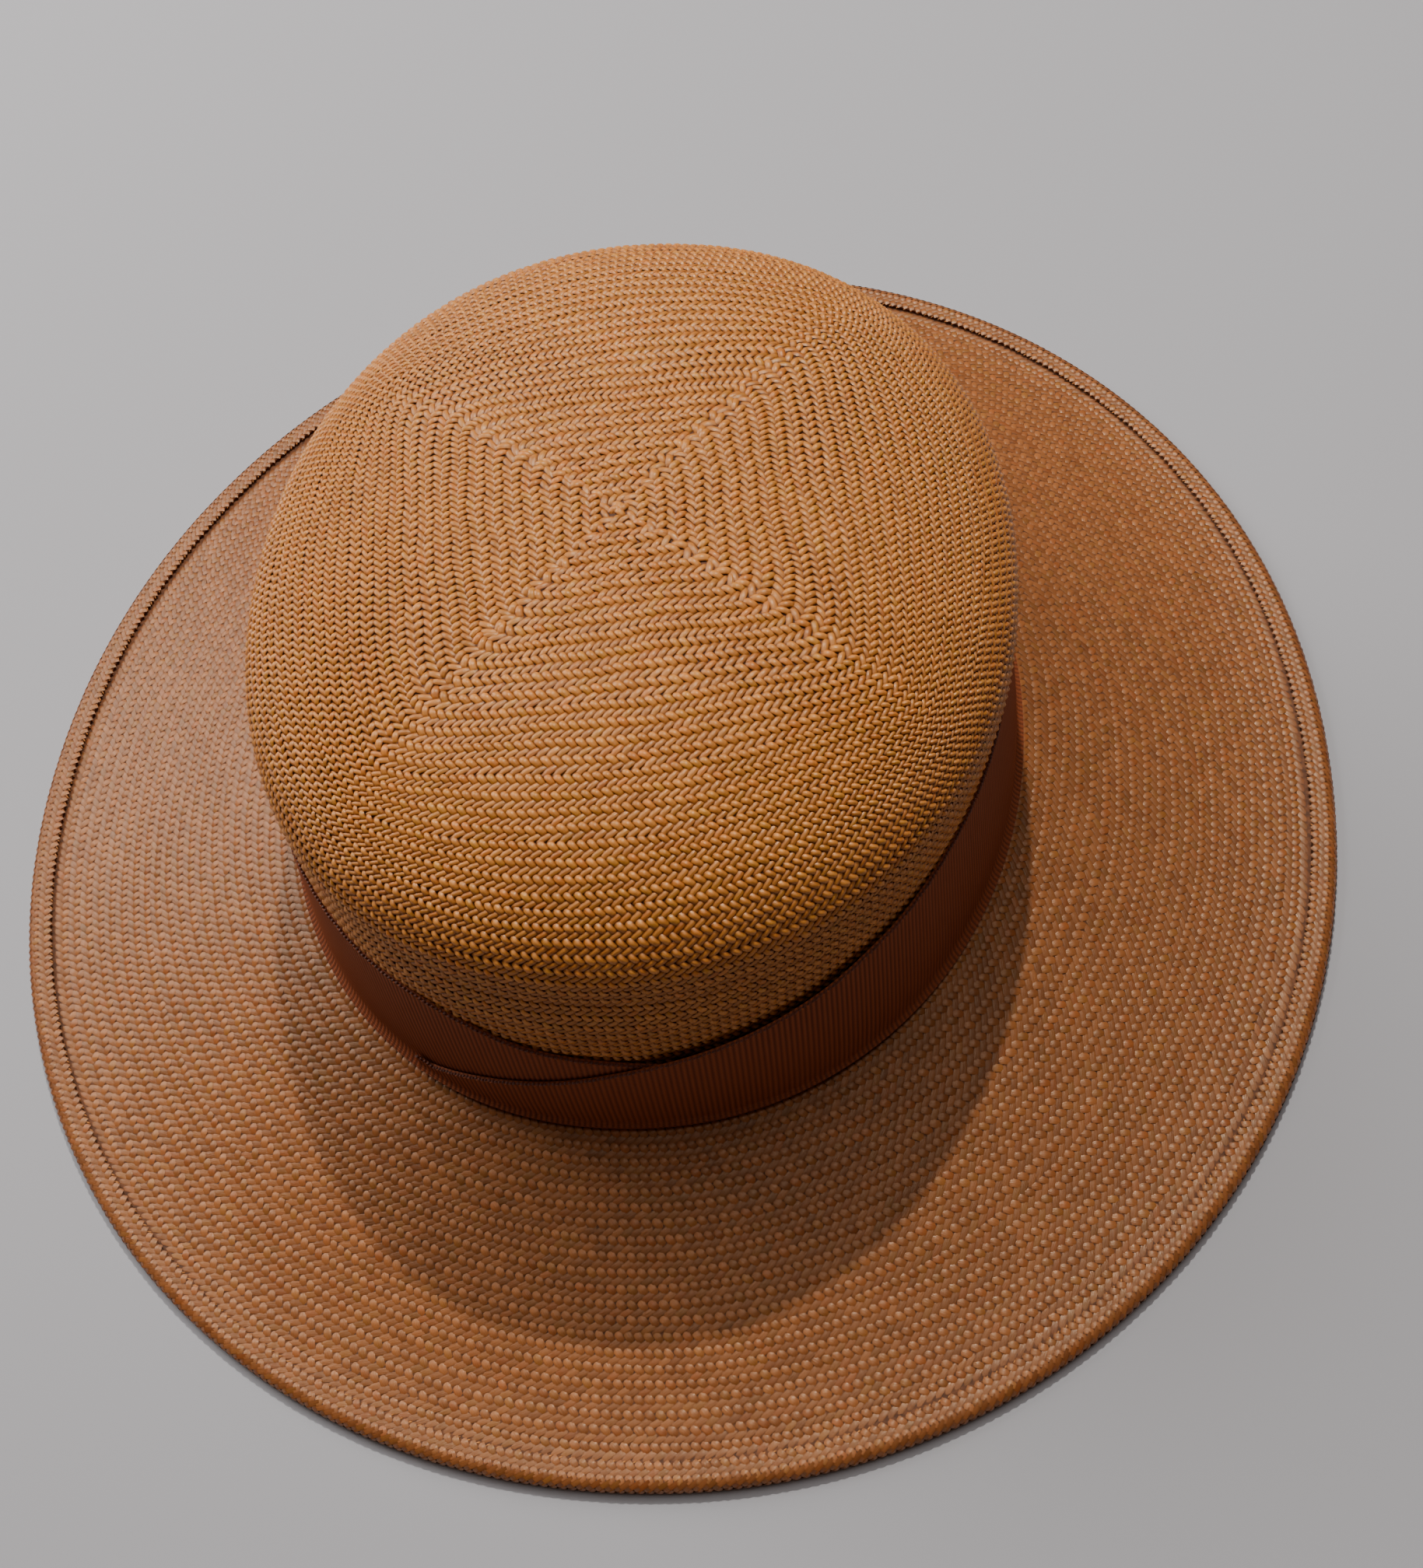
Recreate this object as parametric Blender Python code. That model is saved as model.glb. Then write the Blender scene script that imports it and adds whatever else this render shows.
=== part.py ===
"""Wide-brim straw hat: a blocked crown, a brim with a turned hem, and a crossed ribbon band.

The crown stands in a collar at the brim's inner edge, and the ribbon covers that seam. Metres, +Z up,
front at -Y, +X to the right as seen from the front, origin on the surface that the brim rests on, under
the middle of the hat.
"""

from math import atan, cos, pi, radians, sin

import bmesh
import bpy

# Head and crown
HEAD_LENGTH = 0.1966  # inside the crown at its foot, front to back
HEAD_WIDTH = 0.1642  # inside the crown at its foot, side to side
SIDE_HEIGHT = 0.0503  # foot of the side up to the crown's widest ring
TIP_RISE = 0.0277  # widest ring up to the top of the tip
TIP_FULLNESS = 2.68  # 2 is a plain dome, and more is a flatter tip with a squarer shoulder
CROWN_POWER = 2.11  # of the crown's oval: 2 is an ellipse, and more is fuller at its four quarters
CROWN_SHIFT = 0.0015  # the crown's foot stands this far to the left of the brim's middle
CROWN_LEAN = 0.0233  # how far the crown leans to the right, as a share of its height
STRAW = 0.0013  # thickness of the woven straw

# Brim
BRIM_FRONT = 0.0760  # from the crown's foot to the edge, at front and back
BRIM_SIDE = 0.0780  # from the crown's foot to the edge, at the two sides
BRIM_POWER = 2.045  # of the oval of the brim's edge
BRIM_DROP = 0.0172  # fall of the brim's upper face from the break to its edge
BRIM_SWEEP = 1.35  # 1 is a straight slope, and more is steeper by the crown and flatter outside
BREAK_RADIUS = 0.0040  # fillet where the brim turns up into its collar
COLLAR_HEIGHT = 0.0070  # upright collar that holds the crown's foot
LOBE = 0.0008  # how much the edge swells at three places round the brim
LOBE_ANGLE = radians(72)  # the first of those places

# Hem round the brim's edge
HEM_WIDTH = 0.0056
HEM_LEAF = 0.0010  # straw above and below the brim's edge inside the hem

# Ribbon
RIBBON_WIDTH = 0.0428  # height that it covers above the brim
RIBBON = 0.0010  # its thickness

CLEARANCE = 0.0003  # between pieces that lie on each other

# The side of the crown as (height share of SIDE_HEIGHT, length share and width share of the foot's size)
SIDE_ROWS = (
    (0.00, 1.000, 1.000),
    (0.50, 1.025, 0.984),
    (0.82, 1.032, 0.978),
    (1.00, 1.011, 1.000),
)

# The ribbon's route as (angle in degrees, height share of RIBBON_WIDTH, 0 under or 1 over the other end).
# It starts with the end that shows, which runs down to the brim at the front left, and goes once round the
# crown to the end that is hidden under the crossing.
RIBBON_ROWS = (
    (-116, 0.08, 1.0),
    (-106, 0.34, 1.0),
    (-95, 0.56, 1.0),
    (-85, 0.74, 1.0),
    (-75, 0.85, 1.0),
    (-64, 0.94, 1.0),
    (-55, 1.00, 0.8),
    (-36, 1.02, 0.0),
    (0, 1.00, 0.0),
    (246, 1.00, 0.0),
    (253, 0.96, 0.0),
    (262, 0.84, 0.0),
    (275, 0.73, 0.0),
    (296, 0.45, 0.0),
)

SEGMENTS = 72  # round the crown, brim and hem
SIDE_STEPS = 5
TIP_STEPS = 9
BRIM_STEPS = 6
BREAK_STEPS = 3
RIBBON_STEPS = 80
RIBBON_ROWS_UP = 4  # divisions of the ribbon's upright part

# What follows from the sizes above
COLLAR_STEP = CLEARANCE + STRAW  # crown's outer face to the collar's outer face
HEM_HEIGHT = STRAW + 2 * (CLEARANCE + HEM_LEAF)
EDGE_TOP = HEM_LEAF + CLEARANCE + STRAW  # the brim's upper face inside the hem
HEM_NOSE = HEM_HEIGHT / 2
EDGE_INSIDE = HEM_NOSE + CLEARANCE  # the brim's own edge, inward from the outside of the hem
LEVEL_EDGE = HEM_WIDTH + CLEARANCE  # the brim lies level where the hem wraps it
FOOT_LENGTH = HEAD_LENGTH / 2 + STRAW
FOOT_WIDTH = HEAD_WIDTH / 2 + STRAW
MEAN_BRIM = (BRIM_FRONT + BRIM_SIDE) / 2 - COLLAR_STEP - BREAK_RADIUS
BREAK_TURN = pi / 2 - atan(BRIM_SWEEP * BRIM_DROP / MEAN_BRIM)
BREAK_FOOT = EDGE_TOP + BRIM_DROP  # height of the upper face where the fillet ends
BREAK_CENTRE = BREAK_FOOT + BREAK_RADIUS * sin(BREAK_TURN)
COLLAR_TOP = BREAK_CENTRE + COLLAR_HEIGHT
CROWN_FOOT = BREAK_CENTRE
CROWN_RISE = CROWN_FOOT + SIDE_HEIGHT + TIP_RISE - BREAK_FOOT


def clear_scene():
    for obj in list(bpy.data.objects):
        bpy.data.objects.remove(obj, do_unlink=True)


def slope(rows, i, column):
    """Slope of a column at one row: level at a peak or beside a level stretch, so that nothing overshoots."""
    steps = []
    for low, high in ((i - 1, i), (i, i + 1)):
        if low >= 0 and high < len(rows):
            steps.append((rows[high][column] - rows[low][column]) / (rows[high][0] - rows[low][0]))
    if min(steps) * max(steps) <= 0:
        return 0
    return 2 * min(steps) * max(steps) / (min(steps) + max(steps))


def blend(rows, key):
    """The columns after the first, read at a value of the first one from a smooth curve through the rows."""
    key = min(max(key, rows[0][0]), rows[-1][0])
    i = sum(row[0] < key for row in rows[1:-1])
    low = rows[i]
    high = rows[i + 1]
    span = high[0] - low[0]
    share = (key - low[0]) / span
    swing = share * share * (3 - 2 * share)
    leave = share * (1 - share) ** 2 * span
    arrive = share**2 * (1 - share) * span
    values = []
    for column in range(1, len(low)):
        level = low[column] + (high[column] - low[column]) * swing
        values.append(level + leave * slope(rows, i, column) - arrive * slope(rows, i + 1, column))
    return values


def oval(angle, half_length, half_width, height, power=CROWN_POWER, swell=0.0):
    """A point of a hatter's oval, long from front to back."""
    across = abs(cos(angle) / half_width) ** power
    along = abs(sin(angle) / half_length) ** power
    radius = (across + along) ** (-1 / power) + swell
    return radius * cos(angle), radius * sin(angle), height


def leant(point):
    """The point moved with the crown, which stands off the brim's middle, leans and tips to the right."""
    x, y, z = point
    rise = max(0, z - BREAK_FOOT)
    tip = CROWN_LEAN * x * rise / CROWN_RISE
    return x - CROWN_SHIFT + CROWN_LEAN * rise, y, z - tip


def side_point(angle, height, out):
    """A point that stands out from the outer face of the crown's side."""
    length, width = blend(SIDE_ROWS, (height - CROWN_FOOT) / SIDE_HEIGHT)
    return leant(oval(angle, FOOT_LENGTH * length + out, FOOT_WIDTH * width + out, height))


def turns(count):
    return [2 * pi * i / count for i in range(count)]


def ring_sheet(rings, pole=None):
    """An open sheet through rings of points, outer face up, closed by a fan where a pole is given."""
    sheet = bmesh.new()
    rows = [[sheet.verts.new(point) for point in ring] for ring in rings]
    for low, high in zip(rows, rows[1:]):
        for i in range(len(low)):
            j = (i + 1) % len(low)
            sheet.faces.new((low[i], low[j], high[j], high[i]))
    if pole is not None:
        top = sheet.verts.new(pole)
        last = rows[-1]
        for i in range(len(last)):
            sheet.faces.new((last[i], last[(i + 1) % len(last)], top))
    return sheet


def ring_tube(rings):
    """A closed ring whose section runs through the given rings of points."""
    tube = bmesh.new()
    rows = [[tube.verts.new(point) for point in ring] for ring in rings]
    for k in range(len(rows)):
        low = rows[k]
        high = rows[(k + 1) % len(rows)]
        for i in range(len(low)):
            j = (i + 1) % len(low)
            tube.faces.new((low[i], low[j], high[j], high[i]))
    return tube


def strip_body(sections):
    """A closed body through sections of the same number of points, with both ends capped."""
    body = bmesh.new()
    rows = [[body.verts.new(point) for point in section] for section in sections]
    for low, high in zip(rows, rows[1:]):
        for i in range(len(low)):
            j = (i + 1) % len(low)
            body.faces.new((low[i], low[j], high[j], high[i]))
    body.faces.new(rows[0][::-1])
    body.faces.new(rows[-1])
    bmesh.ops.recalc_face_normals(body, faces=body.faces)
    return body


def finish(name, form, material, parent):
    mesh = bpy.data.meshes.new(name)
    form.to_mesh(mesh)
    form.free()
    mesh.materials.append(material)
    mesh.shade_smooth()
    mesh.set_sharp_from_angle(angle=radians(50))
    piece = bpy.data.objects.new(name, mesh)
    bpy.context.scene.collection.objects.link(piece)
    piece.parent = parent
    return piece


def give_wall(piece):
    """Turns an open sheet of straw into a wall that lies under its outer face."""
    wall = piece.modifiers.new("Straw wall", "SOLIDIFY")
    wall.thickness = STRAW
    wall.offset = -1
    wall.use_even_offset = True
    wall.use_quality_normals = True


def surface(name, colour, roughness):
    material = bpy.data.materials.new(name)
    material.use_nodes = True
    shader = material.node_tree.nodes["Principled BSDF"]
    shader.inputs["Base Color"].default_value = (*colour, 1)
    shader.inputs["Roughness"].default_value = roughness
    shader.inputs["Metallic"].default_value = 0
    return material


def make_crown(material, parent):
    """The side, a rounded shoulder and the gently domed tip, open at the foot."""
    rings = []
    for k in range(SIDE_STEPS + 1):
        height = CROWN_FOOT + SIDE_HEIGHT * k / SIDE_STEPS
        rings.append([side_point(angle, height, 0) for angle in turns(SEGMENTS)])
    widest = CROWN_FOOT + SIDE_HEIGHT
    length, width = SIDE_ROWS[-1][1:]
    for k in range(1, TIP_STEPS):
        turn = pi / 2 * k / TIP_STEPS
        inward = cos(turn) ** (2 / TIP_FULLNESS)
        height = widest + TIP_RISE * sin(turn) ** (2 / TIP_FULLNESS)
        half_length = FOOT_LENGTH * length * inward
        half_width = FOOT_WIDTH * width * inward
        rings.append([leant(oval(a, half_length, half_width, height)) for a in turns(SEGMENTS)])
    pole = leant((0, 0, widest + TIP_RISE))
    crown = finish("crown", ring_sheet(rings, pole), material, parent)
    give_wall(crown)


def edge_swell(angle):
    return LOBE * cos(3 * (angle - LOBE_ANGLE))


def edge_point(angle, inward, height):
    """A point near the brim's edge, at a distance inward from the outside of the hem."""
    length = FOOT_LENGTH + BRIM_FRONT - inward
    width = FOOT_WIDTH + BRIM_SIDE - inward
    return oval(angle, length, width, height, BRIM_POWER, edge_swell(angle))


def brim_point(angle, share):
    """A point of the brim's upper face, from the end of the break at 0 to its level edge at 1."""
    foot = side_point(angle, BREAK_FOOT, COLLAR_STEP + BREAK_RADIUS * (1 - cos(BREAK_TURN)))
    edge = edge_point(angle, EDGE_INSIDE + LEVEL_EDGE, EDGE_TOP)
    x = foot[0] + (edge[0] - foot[0]) * share
    y = foot[1] + (edge[1] - foot[1]) * share
    return x, y, EDGE_TOP + BRIM_DROP * (1 - share) ** BRIM_SWEEP


def make_brim(material, parent):
    """The collar, the break, the falling brim and its level edge inside the hem."""
    rings = [[side_point(angle, COLLAR_TOP, COLLAR_STEP) for angle in turns(SEGMENTS)]]
    for k in range(BREAK_STEPS):
        turn = BREAK_TURN * k / BREAK_STEPS
        out = COLLAR_STEP + BREAK_RADIUS * (1 - cos(turn))
        height = BREAK_CENTRE - BREAK_RADIUS * sin(turn)
        rings.append([side_point(angle, height, out) for angle in turns(SEGMENTS)])
    for k in range(BRIM_STEPS + 1):
        rings.append([brim_point(angle, k / BRIM_STEPS) for angle in turns(SEGMENTS)])
    rings.append([edge_point(angle, EDGE_INSIDE, EDGE_TOP) for angle in turns(SEGMENTS)])
    brim = finish("brim", ring_sheet(rings[::-1]), material, parent)
    give_wall(brim)


def make_hem(material, parent):
    """The turned edge: a fold that holds the brim's edge in its slot and has a flat underside."""
    slot_low = HEM_LEAF
    slot_high = HEM_HEIGHT - HEM_LEAF
    section = [(HEM_WIDTH, slot_low), (HEM_WIDTH, 0)]
    for k in range(5):
        turn = pi * k / 4
        section.append((HEM_NOSE * (1 - sin(turn)), HEM_NOSE * (1 - cos(turn))))
    section += [(HEM_WIDTH, HEM_HEIGHT), (HEM_WIDTH, slot_high)]
    section += [(HEM_NOSE, slot_high), (HEM_NOSE, slot_low)]
    rings = []
    for inward, height in section:
        rings.append([edge_point(angle, inward, height) for angle in turns(SEGMENTS)])
    finish("brim_hem", ring_tube(rings), material, parent)


def ribbon_face(angle, top, offset):
    """Points up the ribbon at one place, lying at the given offset on the brim, collar and crown."""
    points = []
    for k in range(BREAK_STEPS):
        turn = BREAK_TURN * (1 - k / BREAK_STEPS)
        radius = BREAK_RADIUS - offset
        out = COLLAR_STEP + BREAK_RADIUS - radius * cos(turn)
        points.append(side_point(angle, BREAK_CENTRE - radius * sin(turn), out))
    full = RIBBON_WIDTH + BREAK_FOOT
    rise = max(BREAK_FOOT + RIBBON_WIDTH * top - BREAK_CENTRE, offset)
    for k in range(RIBBON_ROWS_UP + 1):
        height = BREAK_CENTRE + rise * k / RIBBON_ROWS_UP
        over_collar = min(1, (full - height) / (full - COLLAR_TOP))
        points.append(side_point(angle, height, offset + COLLAR_STEP * max(0, over_collar)))
    return points


def make_ribbon(material, parent):
    """One length of ribbon round the crown, whose last end crosses over its first and runs down."""
    sections = []
    first = RIBBON_ROWS[0][0]
    last = RIBBON_ROWS[-1][0]
    for i in range(RIBBON_STEPS + 1):
        degrees = first + (last - first) * i / RIBBON_STEPS
        top, over = blend(RIBBON_ROWS, degrees)
        inner = CLEARANCE + over * (RIBBON + CLEARANCE)
        face = ribbon_face(radians(degrees), top, inner)
        back = ribbon_face(radians(degrees), top, inner + RIBBON)
        sections.append(face + back[::-1])
    finish("ribbon_band", strip_body(sections), material, parent)


def middle_of_edge():
    """The middle of the brim's outline, which its three lobes push off the oval's own centre."""
    outline = [edge_point(angle, 0, 0) for angle in turns(SEGMENTS)]
    return [(min(column) + max(column)) / 2 for column in zip(*outline)]


def main():
    clear_scene()
    hat = bpy.data.objects.new("straw_hat", None)
    x, y, z = middle_of_edge()
    hat.location = (-x, -y, -z)
    bpy.context.scene.collection.objects.link(hat)
    straw = surface("natural straw", (0.48, 0.22, 0.09), 0.55)
    hem_straw = surface("turned straw", (0.42, 0.18, 0.07), 0.60)
    grosgrain = surface("grosgrain ribbon", (0.13, 0.035, 0.015), 0.70)
    make_crown(straw, hat)
    make_brim(straw, hat)
    make_hem(hem_straw, hat)
    make_ribbon(grosgrain, hat)


main()
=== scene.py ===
"""Wide-brim straw hat: strands of palm straw woven over the crown, the brim and its turned hem, and a ribbed
ribbon with a twisted edge. Metres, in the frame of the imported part, front at -Y."""

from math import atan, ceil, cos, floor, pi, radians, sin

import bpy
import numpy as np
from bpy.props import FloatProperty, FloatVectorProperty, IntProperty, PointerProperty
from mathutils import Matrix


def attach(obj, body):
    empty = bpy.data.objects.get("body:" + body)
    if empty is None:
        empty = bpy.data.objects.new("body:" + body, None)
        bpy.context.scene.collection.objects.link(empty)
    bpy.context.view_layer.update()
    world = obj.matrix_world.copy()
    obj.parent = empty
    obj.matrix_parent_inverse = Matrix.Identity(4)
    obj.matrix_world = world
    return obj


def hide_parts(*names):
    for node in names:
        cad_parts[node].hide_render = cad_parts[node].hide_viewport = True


bl_info = {
    "name": "Wide-brim straw hat",
    "version": (1, 0, 0),
    "blender": (4, 5, 0),
    "location": "3D View > Sidebar > Straw hat",
    "description": "Weaves the straw of a wide-brim hat over its frame and lays the ribbon round its crown",
    "category": "Object",
}

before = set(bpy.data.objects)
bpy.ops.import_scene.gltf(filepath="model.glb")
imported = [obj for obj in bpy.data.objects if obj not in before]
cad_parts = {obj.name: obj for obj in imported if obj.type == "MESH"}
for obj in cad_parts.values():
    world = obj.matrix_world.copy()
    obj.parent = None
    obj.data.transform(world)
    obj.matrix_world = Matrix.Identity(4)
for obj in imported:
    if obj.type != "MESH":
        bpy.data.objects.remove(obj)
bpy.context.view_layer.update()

# Sizes of the hat, the same as the frame's
FOOT_LENGTH = 0.0996  # outer face of the crown at its foot, half of front to back
FOOT_WIDTH = 0.0834
SIDE_HEIGHT = 0.0503
TIP_RISE = 0.0277
TIP_FULLNESS = 2.68
CROWN_POWER = 2.11
CROWN_SHIFT = 0.0015
CROWN_LEAN = 0.0233
STRAW = 0.0013
BRIM_FRONT = 0.0760
BRIM_SIDE = 0.0780
BRIM_POWER = 2.045
BRIM_DROP = 0.0172
BRIM_SWEEP = 1.35
BREAK_RADIUS = 0.0040
COLLAR_HEIGHT = 0.0070
LOBE = 0.0008
LOBE_ANGLE = radians(72)
HEM_WIDTH = 0.0056
HEM_LEAF = 0.0010
RIBBON_WIDTH = 0.0428
RIBBON = 0.0010
CLEARANCE = 0.0003
BRIM_STEPS = 6
SIDE_STEPS = 5
TIP_STEPS = 9

# The side of the crown as (height share, length share, width share)
SIDE_ROWS = (
    (0.00, 1.000, 1.000),
    (0.50, 1.025, 0.984),
    (0.82, 1.032, 0.978),
    (1.00, 1.011, 1.000),
)

# The ribbon's route as (angle in degrees, height share, 0 under or 1 over the other end)
RIBBON_ROWS = (
    (-116, 0.08, 1.0),
    (-106, 0.34, 1.0),
    (-95, 0.56, 1.0),
    (-85, 0.74, 1.0),
    (-75, 0.85, 1.0),
    (-64, 0.94, 1.0),
    (-55, 1.00, 0.8),
    (-36, 1.02, 0.0),
    (0, 1.00, 0.0),
    (246, 1.00, 0.0),
    (253, 0.96, 0.0),
    (262, 0.84, 0.0),
    (275, 0.73, 0.0),
    (296, 0.45, 0.0),
)

# What follows from the sizes
COLLAR_STEP = CLEARANCE + STRAW
HEM_HEIGHT = STRAW + 2 * (CLEARANCE + HEM_LEAF)
EDGE_TOP = HEM_LEAF + CLEARANCE + STRAW
HEM_NOSE = HEM_HEIGHT / 2
EDGE_INSIDE = HEM_NOSE + CLEARANCE
LEVEL_EDGE = HEM_WIDTH + CLEARANCE
MEAN_BRIM = (BRIM_FRONT + BRIM_SIDE) / 2 - COLLAR_STEP - BREAK_RADIUS
BREAK_TURN = pi / 2 - atan(BRIM_SWEEP * BRIM_DROP / MEAN_BRIM)
BREAK_FOOT = EDGE_TOP + BRIM_DROP
BREAK_CENTRE = BREAK_FOOT + BREAK_RADIUS * sin(BREAK_TURN)
BREAK_REACH = BREAK_RADIUS * (1 - cos(BREAK_TURN))
COLLAR_TOP = BREAK_CENTRE + COLLAR_HEIGHT
CROWN_FOOT = BREAK_CENTRE
WIDEST = CROWN_FOOT + SIDE_HEIGHT
CROWN_RISE = WIDEST + TIP_RISE - BREAK_FOOT
MEAN_FOOT = (FOOT_LENGTH + FOOT_WIDTH) / 2
SIDE_TOP = WIDEST + 0.006  # below this the crown's strands are made with fewer faces

# Where the weave changes
SQUARE_HALF = 0.0312  # half of the woven square in the middle of the tip
SQUARE_TURN = radians(10)
SQUARE_POWER = 11  # sharpness of its corners
CROWN_BAND = 8  # rows between places where strands are added
BRIM_BAND = 13

# Strands that lean one way are drawn tighter than those that lean the other, and their tone carries painted
# light, lighter for the family that would catch the light and darker for the other: (height, tone, width,
# slant)
EVEN_PULL_AND_SHEEN = ((1.30, 0.64, 1.0, 0.80), (0.78, 0.34, 1.0, 1.12))
TIGHT_PULL_AND_SHEEN = ((1.35, 0.68, 0.96, 0.60), (0.80, 0.44, 1.10, 1.10))
GROOVE = 0.0009  # between the brim's last strands and the hem

# How hand-woven rows wander, as (size in row gaps, waves round the hat, shift from row to row, start)
SWAYS = ((0.22, 2, 0.13, 0.0), (0.16, 5, -0.21, 1.3), (0.10, 11, 0.47, 4.0), (0.06, 23, -0.9, 0.0))

# From a third of the way out, the crown's rows draw together by this share of their gap
ROWS_DRAWN_IN = 0.31
DRAWN_FROM = 0.32
DRAWN_OVER = 0.5

# How deep the strands' feet lie under the face that they cover
OUTER_SINK = 0.00002
CROWN_LINING_SINK = 0.00035
BRIM_LINING_SINK = 0.00005
RIBBON_LAP = 0.004  # how far the crown's strands run down behind the ribbon

POLE_ROW = 0.25  # where the four strands in the middle of the tip lie
HEM_ROWS = 10
CORNER_OVERRUN = 0.45  # how far a square row runs past its corners, in pitches

# A strand's tone is shared by all its floats, and each float adds a little of its own
STRAND_TONES = 4096
STRAND_TONE = 0.45
FLOAT_TONE = 0.30

# Fine steps for measuring along a row, and small ones for finding directions on a face
SWEEP = np.linspace(-pi / 2, 3 * pi / 2, 1441)
ANGLE_NUDGE = 0.0001
ROW_NUDGE = 0.02

CELL_EDGE = 0.1  # room round each item's cell in the baked map, as a share of the cell


def slope(rows, i, column):
    """Slope of the smooth curve at a row, which is nought where the rows turn back."""
    steps = []
    for low, high in ((i - 1, i), (i, i + 1)):
        if low >= 0 and high < len(rows):
            steps.append((rows[high][column] - rows[low][column]) / (rows[high][0] - rows[low][0]))
    if min(steps) * max(steps) <= 0:
        return 0
    return 2 * min(steps) * max(steps) / (min(steps) + max(steps))


def blend(rows, key):
    """The columns after the first, read at a value of the first one from a smooth curve through the rows."""
    key = min(max(key, rows[0][0]), rows[-1][0])
    i = sum(row[0] < key for row in rows[1:-1])
    low = rows[i]
    high = rows[i + 1]
    span = high[0] - low[0]
    share = (key - low[0]) / span
    swing = share * share * (3 - 2 * share)
    leave = share * (1 - share) ** 2 * span
    arrive = share**2 * (1 - share) * span
    values = []
    for column in range(1, len(low)):
        level = low[column] + (high[column] - low[column]) * swing
        values.append(level + leave * slope(rows, i, column) - arrive * slope(rows, i + 1, column))
    return values


def totals(steps):
    """The running total of the steps, from nought."""
    return np.concatenate([[0], np.cumsum(steps)])


SHARES = np.linspace(0, 1, 101)
SIDE_CURVE = np.array([blend(SIDE_ROWS, share) for share in SHARES])

TIP_TURNS = np.linspace(pi / 2, 0, 600)
TIP_INWARD = np.cos(TIP_TURNS) ** (2 / TIP_FULLNESS)
TIP_INWARD[0] = 0
TIP_LIFT = np.sin(TIP_TURNS) ** (2 / TIP_FULLNESS)
TIP_RUN = totals(np.hypot(np.diff(TIP_INWARD) * MEAN_FOOT, np.diff(TIP_LIFT) * TIP_RISE))


def smooth(value):
    value = np.clip(value, 0, 1)
    return value * value * (3 - 2 * value)


# The way from the pole as a share of the tip, and the run that even rows would have had by there
WAYS = np.linspace(0, 2, 401)
ROW_SHARES = 1 - ROWS_DRAWN_IN * smooth((WAYS - DRAWN_FROM) / DRAWN_OVER)
EVEN_RUNS = TIP_RUN[-1] * totals(np.diff(WAYS) * 2 / (ROW_SHARES[1:] + ROW_SHARES[:-1]))


def unit(vectors):
    return vectors / np.maximum(np.linalg.norm(vectors, axis=-1, keepdims=True), 1e-12)


def oval_radius(angle, half_length, half_width, power=CROWN_POWER):
    across = np.abs(np.cos(angle) / half_width) ** power
    along = np.abs(np.sin(angle) / half_length) ** power
    return (across + along) ** (-1 / power)


def leant(x, y, z):
    """The place moved with the crown, which stands off the brim's middle, leans and tips to the right."""
    rise = np.maximum(0, z - BREAK_FOOT)
    tip = CROWN_LEAN * x * rise / CROWN_RISE
    return np.stack([x - CROWN_SHIFT + CROWN_LEAN * rise, y, z - tip], -1)


def side_point(angle, height, out):
    """Places that stand out from the outer face of the crown's side."""
    share = (height - CROWN_FOOT) / SIDE_HEIGHT
    length = np.interp(share, SHARES, SIDE_CURVE[:, 0])
    width = np.interp(share, SHARES, SIDE_CURVE[:, 1])
    radius = oval_radius(angle, FOOT_LENGTH * length + out, FOOT_WIDTH * width + out)
    return leant(radius * np.cos(angle), radius * np.sin(angle), height + 0 * angle)


def edge_point(angle, inward, height):
    """Places near the brim's edge, at a distance inward from the outside of the hem."""
    length = FOOT_LENGTH + BRIM_FRONT - inward
    width = FOOT_WIDTH + BRIM_SIDE - inward
    radius = oval_radius(angle, length, width, BRIM_POWER) + LOBE * np.cos(3 * (angle - LOBE_ANGLE))
    return np.stack([radius * np.cos(angle), radius * np.sin(angle), height + 0 * angle], -1)


def square_share(angle):
    """How far a square row stands out in this direction, next to a round one."""
    square = oval_radius(angle - SQUARE_TURN, 1, 1, SQUARE_POWER)
    return square * MEAN_FOOT / oval_radius(angle, FOOT_LENGTH, FOOT_WIDTH)


def swayed(angle, row, calm_rows, amount=1):
    """A hand-woven row wanders a little. The first rows, the calm ones, wander less."""
    wander = 0
    for size, waves, shift, start in SWAYS:
        wander = wander + size * np.sin(waves * angle + shift * row + start)
    return row + wander * np.clip(row / calm_rows, 0, 1) * amount


def crown_profile(angle, row, gap):
    """Radius and height of the crown's outer face by row: square rows round the pole, then ovals."""
    row = swayed(angle, row, 8)
    whole = TIP_RUN[-1]
    way = np.interp(row * gap, EVEN_RUNS, WAYS)
    inside = np.clip(way, 0, 1)
    rounding = smooth((inside - SQUARE_HALF / whole) / (1 - SQUARE_HALF / whole))
    reach = np.clip(inside * square_share(angle) ** (1 - rounding), 0, 1)
    share = 1 - np.maximum(way - 1, 0) * whole / SIDE_HEIGHT
    length = np.interp(share, SHARES, SIDE_CURVE[:, 0])
    width = np.interp(share, SHARES, SIDE_CURVE[:, 1])
    inward = np.interp(reach * whole, TIP_RUN, TIP_INWARD)
    lift = np.interp(reach * whole, TIP_RUN, TIP_LIFT)
    radius = oval_radius(angle, FOOT_LENGTH * length, FOOT_WIDTH * width) * inward
    return radius, CROWN_FOOT + SIDE_HEIGHT * share + TIP_RISE * lift


def crown_point(angle, row, gap):
    radius, height = crown_profile(angle, row, gap)
    return leant(radius * np.cos(angle), radius * np.sin(angle), height)


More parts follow.
